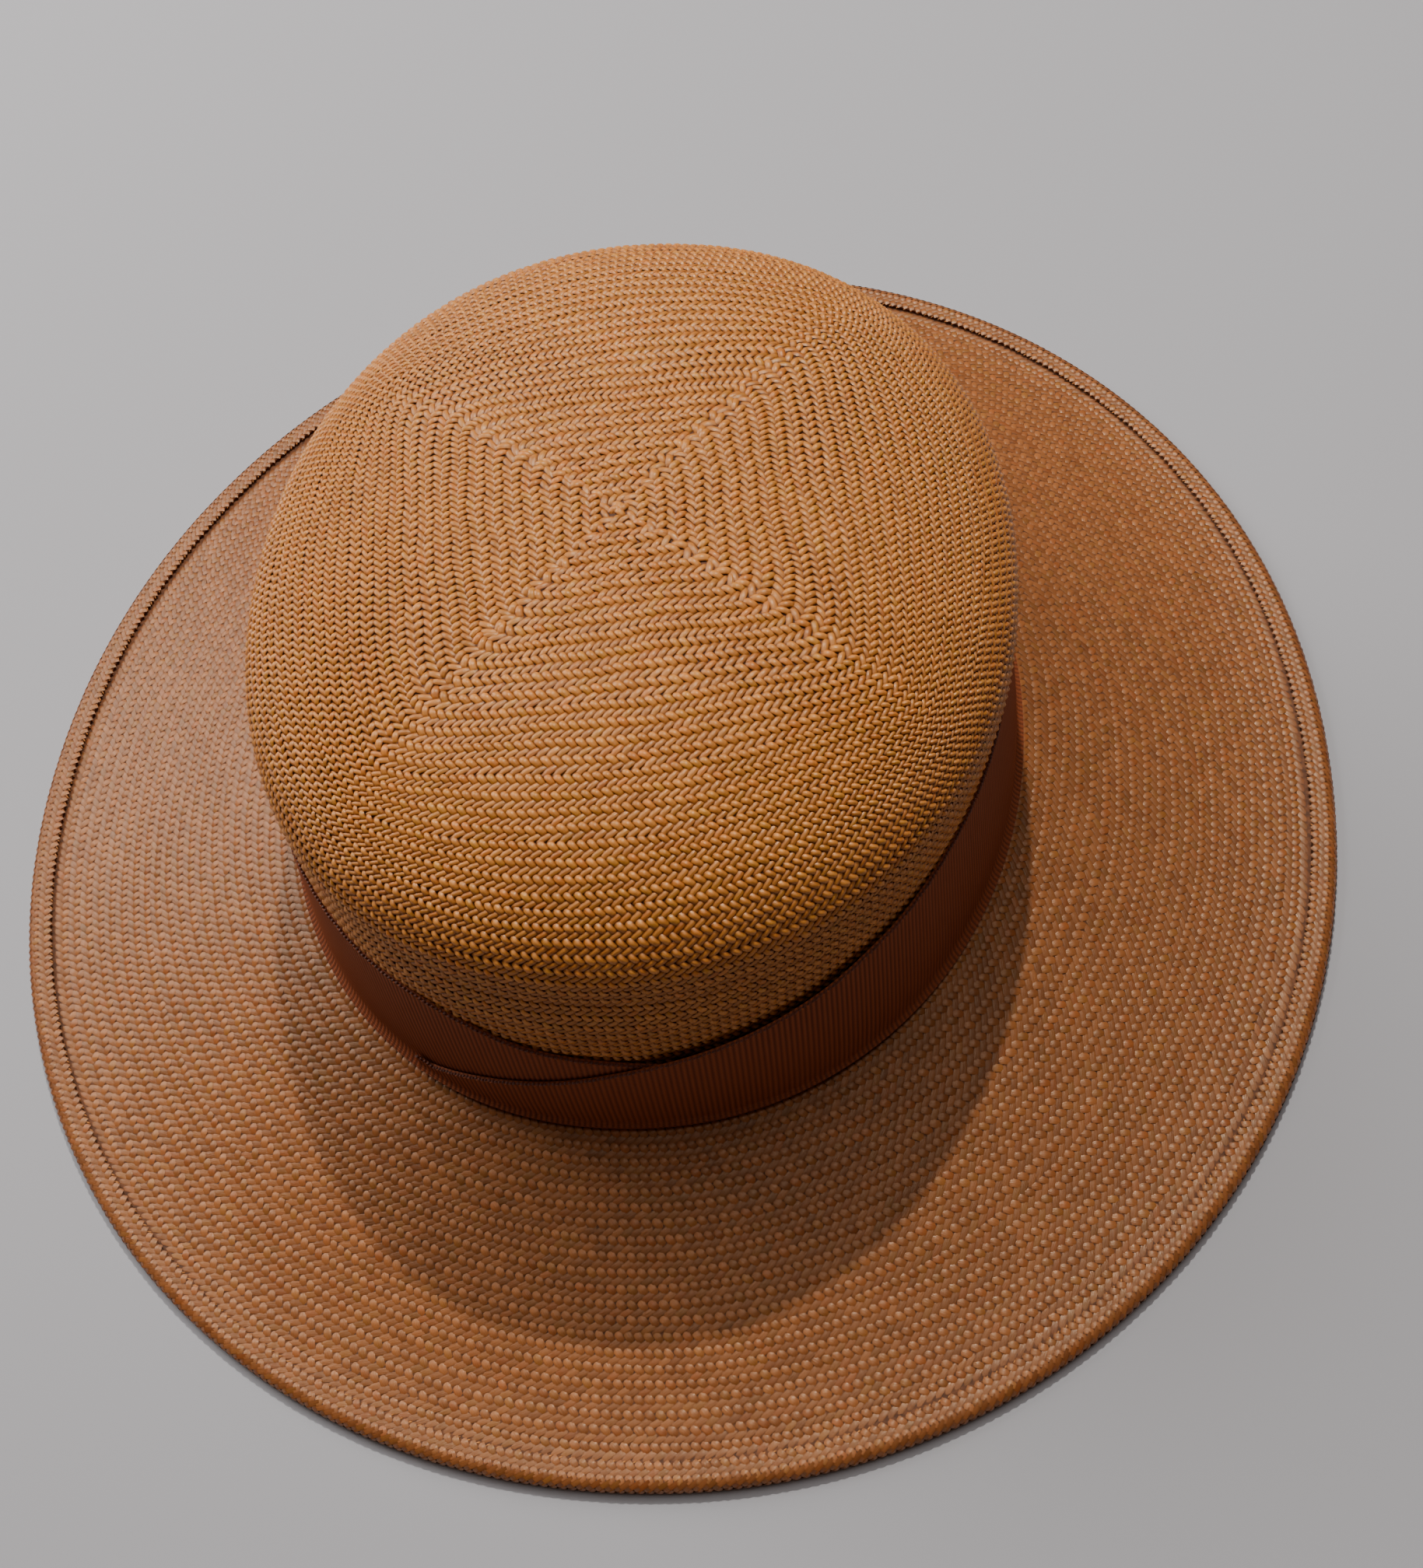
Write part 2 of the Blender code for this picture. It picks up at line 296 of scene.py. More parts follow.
def frame_rings():
    """The rings that the frame's crown is made of, from the pole down, as (inward, length, width, height)."""
    rings = [(0, 1, 1, WIDEST + TIP_RISE)]
    for k in range(TIP_STEPS - 1, 0, -1):
        turn = pi / 2 * k / TIP_STEPS
        inward = cos(turn) ** (2 / TIP_FULLNESS)
        height = WIDEST + TIP_RISE * sin(turn) ** (2 / TIP_FULLNESS)
        rings.append((inward, *SIDE_ROWS[-1][1:], height))
    for k in range(SIDE_STEPS, -1, -1):
        rings.append((1, *blend(SIDE_ROWS, k / SIDE_STEPS), CROWN_FOOT + SIDE_HEIGHT * k / SIDE_STEPS))
    return np.array(rings)


FRAME_RINGS = frame_rings()


def frame_offset(angle, row, gap):
    """How far the flat steps of the frame's crown stand outside its smooth face."""
    here = np.stack(crown_profile(angle, row, gap), -1)[:, None]
    inward, length, width, height = FRAME_RINGS.T
    radius = oval_radius(angle[:, None], FOOT_LENGTH * length, FOOT_WIDTH * width) * inward
    rings = np.stack([radius, height + 0 * radius], -1)
    step = np.diff(rings, axis=1)
    share = np.clip(np.sum((here - rings[:, :-1]) * step, -1) / np.sum(step * step, -1), 0, 1)[..., None]
    away = rings[:, :-1] + share * step - here
    normal = unit(np.stack([-step[..., 1], step[..., 0]], -1))
    nearest = np.argmin(np.linalg.norm(away, axis=-1), 1)[:, None]
    return np.take_along_axis(np.sum(away * normal, -1), nearest, 1)


def brim_point(angle, row, gap):
    """A place on the brim's upper face, by its row from the end of the break out to the hem."""
    row = swayed(angle, row, 4, 0.8)
    foot = side_point(angle, BREAK_FOOT, COLLAR_STEP + BREAK_REACH)
    edge = edge_point(angle, EDGE_INSIDE + LEVEL_EDGE, EDGE_TOP)
    share = (row * gap / BRIM_SPAN)[..., None]
    place = foot + (edge - foot) * share
    place[..., 2] = EDGE_TOP + BRIM_DROP * np.clip(1 - share[..., 0], 0, 1) ** BRIM_SWEEP
    return place


def facet_lift(share):
    """How far the frame's flat steps stand over the brim's smooth sweep."""
    steps = np.linspace(0, 1, BRIM_STEPS + 1)
    chord = np.interp(share, steps, (1 - steps) ** BRIM_SWEEP)
    return BRIM_DROP * (chord - np.clip(1 - share, 0, 1) ** BRIM_SWEEP)


BRIM_SPAN = MEAN_BRIM + BREAK_RADIUS - BREAK_REACH - EDGE_INSIDE - LEVEL_EDGE
BRIM_END = BRIM_SPAN + EDGE_INSIDE + LEVEL_EDGE - HEM_WIDTH - GROOVE

HEM_FLAT = HEM_WIDTH - HEM_NOSE
HEM_RUN = 2 * HEM_FLAT + pi * HEM_NOSE


def hem_point(angle, row, gap):
    """A place on the hem, by its row from the inner edge of the top leaf round the nose and under."""
    run = np.clip(row * gap, 0, HEM_RUN)
    turn = np.clip((run - HEM_FLAT) / HEM_NOSE, 0, pi)
    back = np.maximum(HEM_FLAT - run, 0) + np.maximum(run - HEM_FLAT - pi * HEM_NOSE, 0)
    return edge_point(angle, HEM_NOSE * (1 - np.sin(turn)) + back, HEM_NOSE * (1 + np.cos(turn)))


def middle_of_edge():
    outline = edge_point(SWEEP, 0, 0)
    return (outline.min(0) + outline.max(0)) / 2


TO_MIDDLE = -middle_of_edge()


def runs_of(points):
    """How far each point is along the line through them all."""
    return totals(np.linalg.norm(np.diff(points, axis=0), axis=1))


def row_runs(face, row, gap, sweep=SWEEP):
    """How far each angle of the sweep is along a row of a face."""
    return runs_of(face(sweep, np.full(len(sweep), float(row)), gap))


def even_angles(face, row, gap, count, phase):
    """Angles of evenly spaced strands all the way round a row."""
    runs = row_runs(face, row, gap)
    return np.interp((np.arange(count) + phase) * runs[-1] / count, runs, SWEEP)


def square_angles(face, row, gap, pitch, phase):
    """Angles of strands on the four sides of a square row, from each side's middle and cut at its corners."""
    angles = []
    numbers = []
    for side in range(4):
        middle = SQUARE_TURN + (side - 1) * pi / 2
        sweep = np.linspace(middle - pi / 4, middle + pi / 4, 181)
        runs = row_runs(face, row, gap, sweep)
        runs -= np.interp(middle, sweep, runs)
        first = ceil(runs[0] / pitch - phase - CORNER_OVERRUN)
        last = floor(runs[-1] / pitch - phase + CORNER_OVERRUN)
        number = np.arange(first, last + 1)
        angles.append(np.interp((number + phase) * pitch, runs, sweep))
        numbers.append(number + 500 * side)  # so that no strand is shared by two sides
    return np.concatenate(angles), np.concatenate(numbers)


def point_mesh(name, places, vectors, numbers):
    """A mesh of loose points that carry vectors and numbers by name."""
    mesh = bpy.data.meshes.new(name)
    mesh.vertices.add(len(places))
    mesh.vertices.foreach_set("co", (places + TO_MIDDLE).astype(np.float32).ravel())
    for label, values in vectors.items():
        layer = mesh.attributes.new(label, "FLOAT_VECTOR", "POINT")
        layer.data.foreach_set("vector", np.ascontiguousarray(values, np.float32).ravel())
    for label, values in numbers.items():
        layer = mesh.attributes.new(label, "FLOAT", "POINT")
        layer.data.foreach_set("value", np.ascontiguousarray(values, np.float32))
    return mesh


class Strands:
    """Strand floats that are gathered row by row: place, direction, outward direction, size and tone."""

    def __init__(self, seed, pull_and_sheen=EVEN_PULL_AND_SHEEN):
        self.pull_and_sheen = pull_and_sheen
        self.dice = np.random.default_rng(seed)
        self.strand_tones = self.dice.random((2, STRAND_TONES))
        self.parts = []

    def add_row(self, face, number, row, gap, angles, ids, side, sink, keep=None, pitch=None):
        """One row of floats. side is 1 on the upper face and -1 on the lower, sink the way out to them."""
        rows = np.full(len(angles), float(row))
        ahead = face(angles + ANGLE_NUDGE, rows, gap)
        behind = face(angles - ANGLE_NUDGE, rows, gap)
        outer = face(angles, rows + ROW_NUDGE, gap)
        inner = face(angles, rows - ROW_NUDGE, gap)
        along = unit(ahead - behind)
        out = unit(np.cross(outer - inner, ahead - behind))
        across = np.cross(along, out)
        spread = np.abs(np.sum((outer - inner) * across, -1)) / (2 * ROW_NUDGE)
        place = (outer + inner) / 2
        if pitch is None:
            pitch = np.median(np.linalg.norm(np.roll(place, 1, 0) - np.roll(place, -1, 0), axis=-1)) / 2
        family = number % 2
        lean = -1 if family else 1
        # The tone column is painted light: one family lighter, the other darker
        height, painted_family_light, breadth, slant = self.pull_and_sheen[family]
        run = along * slant * pitch / 2 + across * (lean * spread / 2)[:, None]
        length = 2 * np.linalg.norm(run, axis=-1)
        width = pitch * spread / length * breadth
        strand = np.abs((ids - lean * (number - family)).astype(int)) % STRAND_TONES
        own = STRAND_TONE * self.strand_tones[family][strand] + FLOAT_TONE * self.dice.random(len(ids))
        tone = np.clip(painted_family_light + own - (STRAND_TONE + FLOAT_TONE) / 2, 0, 1)
        fleck = self.dice.random(len(ids))
        stand = np.full(len(ids), height)
        part = np.column_stack([place + out * sink, unit(run), out * side, length, width, stand, tone, fleck])
        if keep is not None:
            part = part[keep(angles, place)]
        self.parts.append(part)

    def points(self, name):
        """A mesh of loose points that carry what each float needs."""
        table = np.concatenate(self.parts)
        vectors = {"along": table[:, 3:6], "out": table[:, 6:9], "size": table[:, 9:12]}
        return point_mesh(name, table[:, 0:3], vectors, {"tone": table[:, 12], "fleck": table[:, 13]})


# Geometry node trees


def new_tree(name, inputs):
    """A tree with named inputs, and the two nodes that stand for its inputs and its output."""
    tree = bpy.data.node_groups.new(name, "GeometryNodeTree")
    tree.interface.new_socket("Geometry", in_out="INPUT", socket_type="NodeSocketGeometry")
    for label, kind, value in inputs:
        socket = tree.interface.new_socket(label, in_out="INPUT", socket_type=kind)
        if value is not None:
            socket.default_value = value
    tree.interface.new_socket("Geometry", in_out="OUTPUT", socket_type="NodeSocketGeometry")
    source = tree.nodes.new("NodeGroupInput")
    target = tree.nodes.new("NodeGroupOutput")
    return tree, source, target


def add_node(tree, kind, settings=None, links=None):
    """A node with its settings made, and its inputs filled from sockets or plain values."""
    node = tree.nodes.new(kind)
    for key, value in (settings or {}).items():
        setattr(node, key, value)
    for key, value in (links or {}).items():
        socket = node.inputs[key]
        if isinstance(value, bpy.types.NodeSocket):
            tree.links.new(value, socket)
        else:
            socket.default_value = value
    return node


def maths(tree, operation, *values):
    return add_node(tree, "ShaderNodeMath", {"operation": operation}, dict(enumerate(values))).outputs[0]


def named(tree, kind, label):
    node = add_node(tree, "GeometryNodeInputNamedAttribute", {"data_type": kind}, {"Name": label})
    return node.outputs["Attribute"]


def random_value(tree, low, high, seed):
    settings = {"data_type": "FLOAT"}
    return add_node(tree, "FunctionNodeRandomValue", settings, {"Min": low, "Max": high, "Seed": seed})


def keep_uv(tree, mesh):
    """Stores the item's own map, so that its material can follow it."""
    settings = {"data_type": "FLOAT_VECTOR", "domain": "CORNER"}
    links = {"Geometry": mesh.outputs["Mesh"], "Name": "strand_uv", "Value": mesh.outputs["UV Map"]}
    return add_node(tree, "GeometryNodeStoreNamedAttribute", settings, links).outputs["Geometry"]


def items_on_points(tree, source, target, item, scale):
    """Puts an item on every point, turned by the point's own directions, and gives it the material."""
    turn = add_node(
        tree,
        "FunctionNodeAxesToRotation",
        {"primary_axis": "Z", "secondary_axis": "X"},
        {
            "Primary Axis": named(tree, "FLOAT_VECTOR", "out"),
            "Secondary Axis": named(tree, "FLOAT_VECTOR", "along"),
        },
    )
    least = maths(tree, "MULTIPLY", source.outputs["Turn"], -1.0)
    spin = random_value(tree, least, source.outputs["Turn"], source.outputs["Seed"])
    tilt = add_node(tree, "ShaderNodeCombineXYZ", None, {"Z": spin.outputs["Value"]})
    turned = add_node(
        tree,
        "FunctionNodeRotateRotation",
        {"rotation_space": "LOCAL"},
        {"Rotation": turn.outputs[0], "Rotate By": tilt.outputs[0]},
    )
    placed = add_node(
        tree,
        "GeometryNodeInstanceOnPoints",
        None,
        {
            "Points": source.outputs["Geometry"],
            "Instance": item,
            "Rotation": turned.outputs[0],
            "Scale": scale,
        },
    )
    real = add_node(tree, "GeometryNodeRealizeInstances", None, {"Geometry": placed.outputs["Instances"]})
    finish = {"Geometry": real.outputs["Geometry"], "Material": source.outputs["Material"]}
    made = add_node(tree, "GeometryNodeSetMaterial", None, finish)
    tree.links.new(made.outputs["Geometry"], target.inputs["Geometry"])


def strand_tree():
    """Arched floats of straw on points: the middle stands up, and the ends and edges dive."""
    inputs = (
        ("Steps", "NodeSocketInt", 4),
        ("Steps across", "NodeSocketInt", 3),
        ("Height", "NodeSocketFloat", 0.00026),
        ("Cover", "NodeSocketFloat", 1.04),
        ("Reach", "NodeSocketFloat", 1.20),
        ("Edge fall", "NodeSocketFloat", 0.60),
        ("End fall", "NodeSocketFloat", 0.80),
        ("Turn", "NodeSocketFloat", 0.05),
        ("Uneven", "NodeSocketFloat", 0.06),
        ("Seed", "NodeSocketInt", 7),
        ("Material", "NodeSocketMaterial", None),
    )
    tree, source, target = new_tree("Woven strands", inputs)
    grid = add_node(
        tree,
        "GeometryNodeMeshGrid",
        None,
        {
            "Size X": 1.0,
            "Size Y": 1.0,
            "Vertices X": source.outputs["Steps"],
            "Vertices Y": source.outputs["Steps across"],
        },
    )
    stored = keep_uv(tree, grid)
    place = add_node(tree, "GeometryNodeInputPosition")
    parts = add_node(tree, "ShaderNodeSeparateXYZ", None, {"Vector": place.outputs[0]})
    end = maths(tree, "POWER", maths(tree, "ABSOLUTE", maths(tree, "MULTIPLY", parts.outputs["X"], 2.0)), 3.0)
    edge = maths(tree, "POWER", maths(tree, "MULTIPLY", parts.outputs["Y"], 2.0), 2.0)
    lower = maths(tree, "MULTIPLY", edge, source.outputs["Edge fall"])
    dive = maths(tree, "MULTIPLY", end, source.outputs["End fall"])
    lift = maths(tree, "SUBTRACT", maths(tree, "SUBTRACT", 1.0, lower), dive)
    flat = {"X": parts.outputs["X"], "Y": parts.outputs["Y"]}
    shaped = add_node(tree, "ShaderNodeCombineXYZ", None, {**flat, "Z": lift}).outputs[0]
    moved = add_node(tree, "GeometryNodeSetPosition", None, {"Geometry": stored, "Position": shaped})
    smooth_item = add_node(tree, "GeometryNodeSetShadeSmooth", None, {"Geometry": moved.outputs["Geometry"]})
    low = maths(tree, "SUBTRACT", source.outputs["Cover"], source.outputs["Uneven"])
    high = maths(tree, "ADD", source.outputs["Cover"], source.outputs["Uneven"])
    uneven = random_value(tree, low, high, source.outputs["Seed"])
    size = add_node(tree, "ShaderNodeSeparateXYZ", None, {"Vector": named(tree, "FLOAT_VECTOR", "size")})
    thick = maths(tree, "MULTIPLY", uneven.outputs["Value"], source.outputs["Height"])
    scale = add_node(
        tree,
        "ShaderNodeCombineXYZ",
        None,
        {
            "X": maths(tree, "MULTIPLY", size.outputs["X"], source.outputs["Reach"]),
            "Y": maths(tree, "MULTIPLY", size.outputs["Y"], uneven.outputs["Value"]),
            "Z": maths(tree, "MULTIPLY", size.outputs["Z"], thick),
        },
    )
    items_on_points(tree, source, target, smooth_item.outputs["Geometry"], scale.outputs[0])
    return tree


def bead_tree():
    """Small closed beads of thread on points, for stitches and twisted edges."""
    inputs = (
        ("Turn", "NodeSocketFloat", 0.06),
        ("Seed", "NodeSocketInt", 11),
        ("Material", "NodeSocketMaterial", None),
    )
    tree, source, target = new_tree("Beads of thread", inputs)
    ball = add_node(tree, "GeometryNodeMeshUVSphere", None, {"Segments": 6, "Rings": 4, "Radius": 0.5})
    smooth_item = add_node(tree, "GeometryNodeSetShadeSmooth", None, {"Geometry": keep_uv(tree, ball)})
    size = named(tree, "FLOAT_VECTOR", "size")
    items_on_points(tree, source, target, smooth_item.outputs["Geometry"], size)
    return tree


def grow(points, tree, values):
    """Runs a tree on a mesh of points and returns the plain mesh that it makes."""
    seed = bpy.data.objects.new(points.name + "_points", points)
    bpy.context.scene.collection.objects.link(seed)
    modifier = seed.modifiers.new("Grow", "NODES")
    modifier.node_group = tree
    for item in tree.interface.items_tree:
        if item.item_type == "SOCKET" and item.in_out == "INPUT" and item.name in values:
            modifier[item.identifier] = values[item.name]
    graph = bpy.context.evaluated_depsgraph_get()
    mesh = bpy.data.meshes.new_from_object(seed.evaluated_get(graph))
    bpy.data.objects.remove(seed)
    for label in ("along", "out", "size"):
        if label in mesh.attributes:
            mesh.attributes.remove(mesh.attributes[label])
    return mesh


def bake_cells(mesh, count):
    """Gives each of the mesh's equal items a small cell of its own in the map that colours are baked to."""
    corners = len(mesh.loops)
    local = np.zeros(corners * 3, np.float32)
    mesh.attributes["strand_uv"].data.foreach_get("vector", local)
    local = local.reshape(-1, 3)[:, :2]
    item = np.arange(corners) * count // corners
    across = ceil((count / 2) ** 0.5)
    up = ceil(count / across)
    place = np.column_stack([item % across, item // across]) + CELL_EDGE + (1 - 2 * CELL_EDGE) * local
    place /= (across, up)
    mesh.uv_layers.new(name="OFBake").data.foreach_set("uv", place.astype(np.float32).ravel())


def show(name, mesh):
    mesh.name = name
    piece = bpy.data.objects.new(name, mesh)
    bpy.context.scene.collection.objects.link(piece)
    return piece


def grown_piece(name, points, tree, values):
    """A piece that a tree makes from a mesh of points, one item on each. It is fixed to the hat."""
    count = len(points.vertices)
    mesh = grow(points, tree, values)
    bake_cells(mesh, count)
    piece = show(name, mesh)
    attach(piece, "root")
    return piece


# Shader groups and materials

OLD_GREEN = (0.86, 1.02, 0.62, 1)
OLD_RED = (1.0, 0.80, 0.66, 1)
# Colour of the painted shade at the floats' edges and ends
PAINTED_SHADE_TINT = (0.34, 0.23, 0.15, 1)
GLOSS_TINT = (1.0, 0.84, 0.64, 1)
# How much painted shade darkens the floats' edges and ends, on the crown and on the brim
CROWN_EDGE_SHADE = 0.95
BRIM_EDGE_SHADE = 0.22
WARP_GAP = 0.0005  # from thread to thread up the ribbon


def new_group(name, inputs, outputs):
    tree = bpy.data.node_groups.new(name, "ShaderNodeTree")
    for label, kind, value in inputs:
        tree.interface.new_socket(label, in_out="INPUT", socket_type=kind).default_value = value
    for label, kind in outputs:
        tree.interface.new_socket(label, in_out="OUTPUT", socket_type=kind)
    return tree, tree.nodes.new("NodeGroupInput"), tree.nodes.new("NodeGroupOutput")


def mix_colour(tree, share, low, high, kind="MIX"):
    """Two colours mixed by the share, each of the three a socket or a plain value."""
    node = tree.nodes.new("ShaderNodeMix")
    node.data_type = "RGBA"
    node.blend_type = kind
    for socket, value in ((node.inputs[0], share), (node.inputs[6], low), (node.inputs[7], high)):
        if isinstance(value, bpy.types.NodeSocket):
            tree.links.new(value, socket)
        else:
            socket.default_value = value
    return node.outputs[2]


def stretch(tree, value, low, high, to_low=0.0, to_high=1.0):
    """The value moved from the range low to high into another range."""
    links = {"Value": value, "From Min": low, "From Max": high, "To Min": to_low, "To Max": to_high}
    return add_node(tree, "ShaderNodeMapRange", None, links).outputs[0]


def noise_texture(tree, vector, scale, detail, roughness=0.5):
    links = {"Vector": vector, "Scale": scale, "Detail": detail, "Roughness": roughness}
    return add_node(tree, "ShaderNodeTexNoise", None, links)


def straw_group():
    """Palm straw: a tone for each strand, fibres along it, edges and ends darkened with painted shade, and
    old flecks.
    """
    inputs = (
        ("Tone", "NodeSocketFloat", 0.5),
        ("Fleck", "NodeSocketFloat", 0.5),
        ("Along strand", "NodeSocketVector", (0, 0, 0)),
        ("Light", "NodeSocketColor", (0.7, 0.4, 0.2, 1)),
        ("Dark", "NodeSocketColor", (0.4, 0.2, 0.1, 1)),
        ("Edge shade", "NodeSocketFloat", 0.45),
    )
    outputs = (("Colour", "NodeSocketColor"), ("Roughness", "NodeSocketFloat"), ("Height", "NodeSocketFloat"))
    tree, source, target = new_group("Palm straw", inputs, outputs)
    parts = add_node(tree, "ShaderNodeSeparateXYZ", None, {"Vector": source.outputs["Along strand"]})
    own = maths(tree, "MULTIPLY", source.outputs["Fleck"], 57.0)
    run = maths(tree, "MULTIPLY", parts.outputs["X"], 1.6)
    width = maths(tree, "MULTIPLY", parts.outputs["Y"], 9.0)
    lines = add_node(tree, "ShaderNodeCombineXYZ", None, {"X": run, "Y": width, "Z": own})
    fibre = noise_texture(tree, lines.outputs[0], 1.0, 2.0, 0.6)
    side = maths(tree, "ABSOLUTE", maths(tree, "SUBTRACT", parts.outputs["Y"], 0.5))
    end = maths(tree, "ABSOLUTE", maths(tree, "SUBTRACT", parts.outputs["X"], 0.5))
    rim = stretch(tree, side, 0.28, 0.5)
    tuck = stretch(tree, end, 0.30, 0.5)
    streak = stretch(tree, fibre.outputs["Fac"], 0.3, 0.7)
    strand_tone = maths(tree, "MULTIPLY", source.outputs["Tone"], 0.75)
    tone = maths(tree, "ADD", strand_tone, maths(tree, "MULTIPLY", streak, 0.25))
    colour = mix_colour(tree, tone, source.outputs["Dark"], source.outputs["Light"])
    green = stretch(tree, source.outputs["Fleck"], 0.80, 1.0)
    red = stretch(tree, source.outputs["Fleck"], 0.16, 0.0)
    colour = mix_colour(tree, maths(tree, "MULTIPLY", green, 0.5), colour, OLD_GREEN, "MULTIPLY")
    colour = mix_colour(tree, maths(tree, "MULTIPLY", red, 0.7), colour, OLD_RED, "MULTIPLY")
    # Painted shade: each float's edges and ends are darkened
    shade = maths(tree, "MULTIPLY", maths(tree, "MAXIMUM", rim, tuck), source.outputs["Edge shade"])
    colour = mix_colour(tree, shade, colour, PAINTED_SHADE_TINT, "MULTIPLY")
    tree.links.new(colour, target.inputs["Colour"])
    tree.links.new(stretch(tree, fibre.outputs["Fac"], 0.3, 0.7, 0.42, 0.25), target.inputs["Roughness"])
    tree.links.new(fibre.outputs["Fac"], target.inputs["Height"])
    return tree


def new_material(name):
    material = bpy.data.materials.new(name)
    material.use_nodes = True
    tree = material.node_tree
    shader = tree.nodes["Principled BSDF"]
    return material, tree, shader


def attribute(tree, label, output="Fac"):
    node = tree.nodes.new("ShaderNodeAttribute")
    node.attribute_name = label
    return node.outputs[output]


def bump(tree, shader, height, depth, strength=1.0):
    node = add_node(tree, "ShaderNodeBump", None, {"Height": height, "Distance": depth, "Strength": strength})
    tree.links.new(node.outputs["Normal"], shader.inputs["Normal"])


def straw_material(name, light, dark, group, edge_shade):
    """Straw strands with a soft satin gloss."""
    material, tree, shader = new_material(name)
    straw = tree.nodes.new("ShaderNodeGroup")
    straw.node_tree = group
    tree.links.new(attribute(tree, "tone"), straw.inputs["Tone"])
    tree.links.new(attribute(tree, "fleck"), straw.inputs["Fleck"])
    tree.links.new(attribute(tree, "strand_uv", "Vector"), straw.inputs["Along strand"])
    straw.inputs["Light"].default_value = (*light, 1)
    straw.inputs["Dark"].default_value = (*dark, 1)
    straw.inputs["Edge shade"].default_value = edge_shade
    tree.links.new(straw.outputs["Colour"], shader.inputs["Base Color"])
    tree.links.new(straw.outputs["Roughness"], shader.inputs["Roughness"])
    shader.inputs["Specular IOR Level"].default_value = 0.5
    shader.inputs["Specular Tint"].default_value = GLOSS_TINT
    bump(tree, shader, straw.outputs["Height"], 0.00006)
    return material


def gap_material(name, colour):
    """What shows between the strands: the strands underneath, painted dark as painted shade."""
    material, tree, shader = new_material(name)
    coordinates = tree.nodes.new("ShaderNodeTexCoord")
    noise = noise_texture(tree, coordinates.outputs["Object"], 700.0, 2.0)
    dark = tuple(value * 0.45 for value in colour)
    tint = mix_colour(tree, stretch(tree, noise.outputs["Fac"], 0.35, 0.65), (*dark, 1), (*colour, 1))
    tree.links.new(tint, shader.inputs["Base Color"])
    shader.inputs["Roughness"].default_value = 0.75
    bump(tree, shader, noise.outputs["Fac"], 0.0002)
    return material


def thread_material(name, colour, roughness):
    """Spun thread, lighter on some turns than on others."""
    material, tree, shader = new_material(name)
    parts = add_node(tree, "ShaderNodeSeparateXYZ", None, {"Vector": attribute(tree, "strand_uv", "Vector")})
    wave = noise_texture(tree, attribute(tree, "strand_uv", "Vector"), 6.0, 1.0)
    low = tuple(value * 0.6 for value in colour)
    tint = mix_colour(tree, attribute(tree, "tone"), (*low, 1), (*colour, 1))
    tint = mix_colour(tree, maths(tree, "MULTIPLY", parts.outputs["X"], 0.15), tint, (*low, 1))
    tree.links.new(tint, shader.inputs["Base Color"])
    shader.inputs["Roughness"].default_value = roughness
    shader.inputs["Sheen Weight"].default_value = 0.15
    bump(tree, shader, wave.outputs["Fac"], 0.00008)
    return material


def ribbon_material(name, colour):
    """Ribbed grosgrain: fine warp threads cross the ribs, with painted light on the ribs' crests and painted
    shade in the hollows between them.
    """
    material, tree, shader = new_material(name)
    along = attribute(tree, "ribbon_uv", "Vector")
    parts = add_node(tree, "ShaderNodeSeparateXYZ", None, {"Vector": along})
    ribs = maths(tree, "COSINE", maths(tree, "MULTIPLY", parts.outputs["X"], 2 * pi))
    crest = maths(tree, "MULTIPLY", maths(tree, "ADD", ribs, 1.0), 0.5)
    warp = noise_texture(tree, along, 3.1, 3.0, 0.7)
    cloud = noise_texture(tree, add_node(tree, "ShaderNodeTexCoord").outputs["Object"], 22.0, 2.0)
    thread = maths(tree, "ABSOLUTE", maths(tree, "SINE", maths(tree, "MULTIPLY", parts.outputs["Y"], pi)))
    low = tuple(value * 0.42 for value in colour)
    high = tuple(min(value * 1.35, 1) for value in colour)
    # Painted light and shade: lighter on the ribs' crests, darker between them
    painted_rib_light = maths(tree, "MULTIPLY", crest, stretch(tree, warp.outputs["Fac"], 0.3, 0.7, 0.55, 1.0))
    tint = mix_colour(tree, painted_rib_light, (*low, 1), (*high, 1))
    fade = stretch(tree, cloud.outputs["Fac"], 0.35, 0.7, 0.0, 0.35)
    tint = mix_colour(tree, fade, tint, (*colour, 1))
    tree.links.new(tint, shader.inputs["Base Color"])
    shader.inputs["Roughness"].default_value = 0.68
    shader.inputs["Specular IOR Level"].default_value = 0.25
    fuzz = maths(tree, "MULTIPLY", warp.outputs["Fac"], 0.6)
    bump(tree, shader, maths(tree, "ADD", maths(tree, "MULTIPLY", thread, 0.5), fuzz), 0.00010)
    return material


def stage_material(name, colour, roughness):
    material, _, shader = new_material(name)
    shader.inputs["Base Color"].default_value = (*colour, 1)
    shader.inputs["Roughness"].default_value = roughness
    shader.inputs["Specular IOR Level"].default_value = 0.2
    return material


def set_frame_material(node, material):
    """Gives a node of the frame a material; here it is always the painted shade of the gaps."""
    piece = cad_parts[node]
    if not piece.material_slots:
        piece.data.materials.append(material)
    for slot in piece.material_slots:
        slot.material = material


# Sizes and colours that a user would change


def length_setting(name, description, default):
    return FloatProperty(name=name, description=description, default=default, unit="LENGTH")


def colour_setting(name, description, default):
    return FloatVectorProperty(
        name=name, description=description, default=default, subtype="COLOR", min=0, max=1
    )


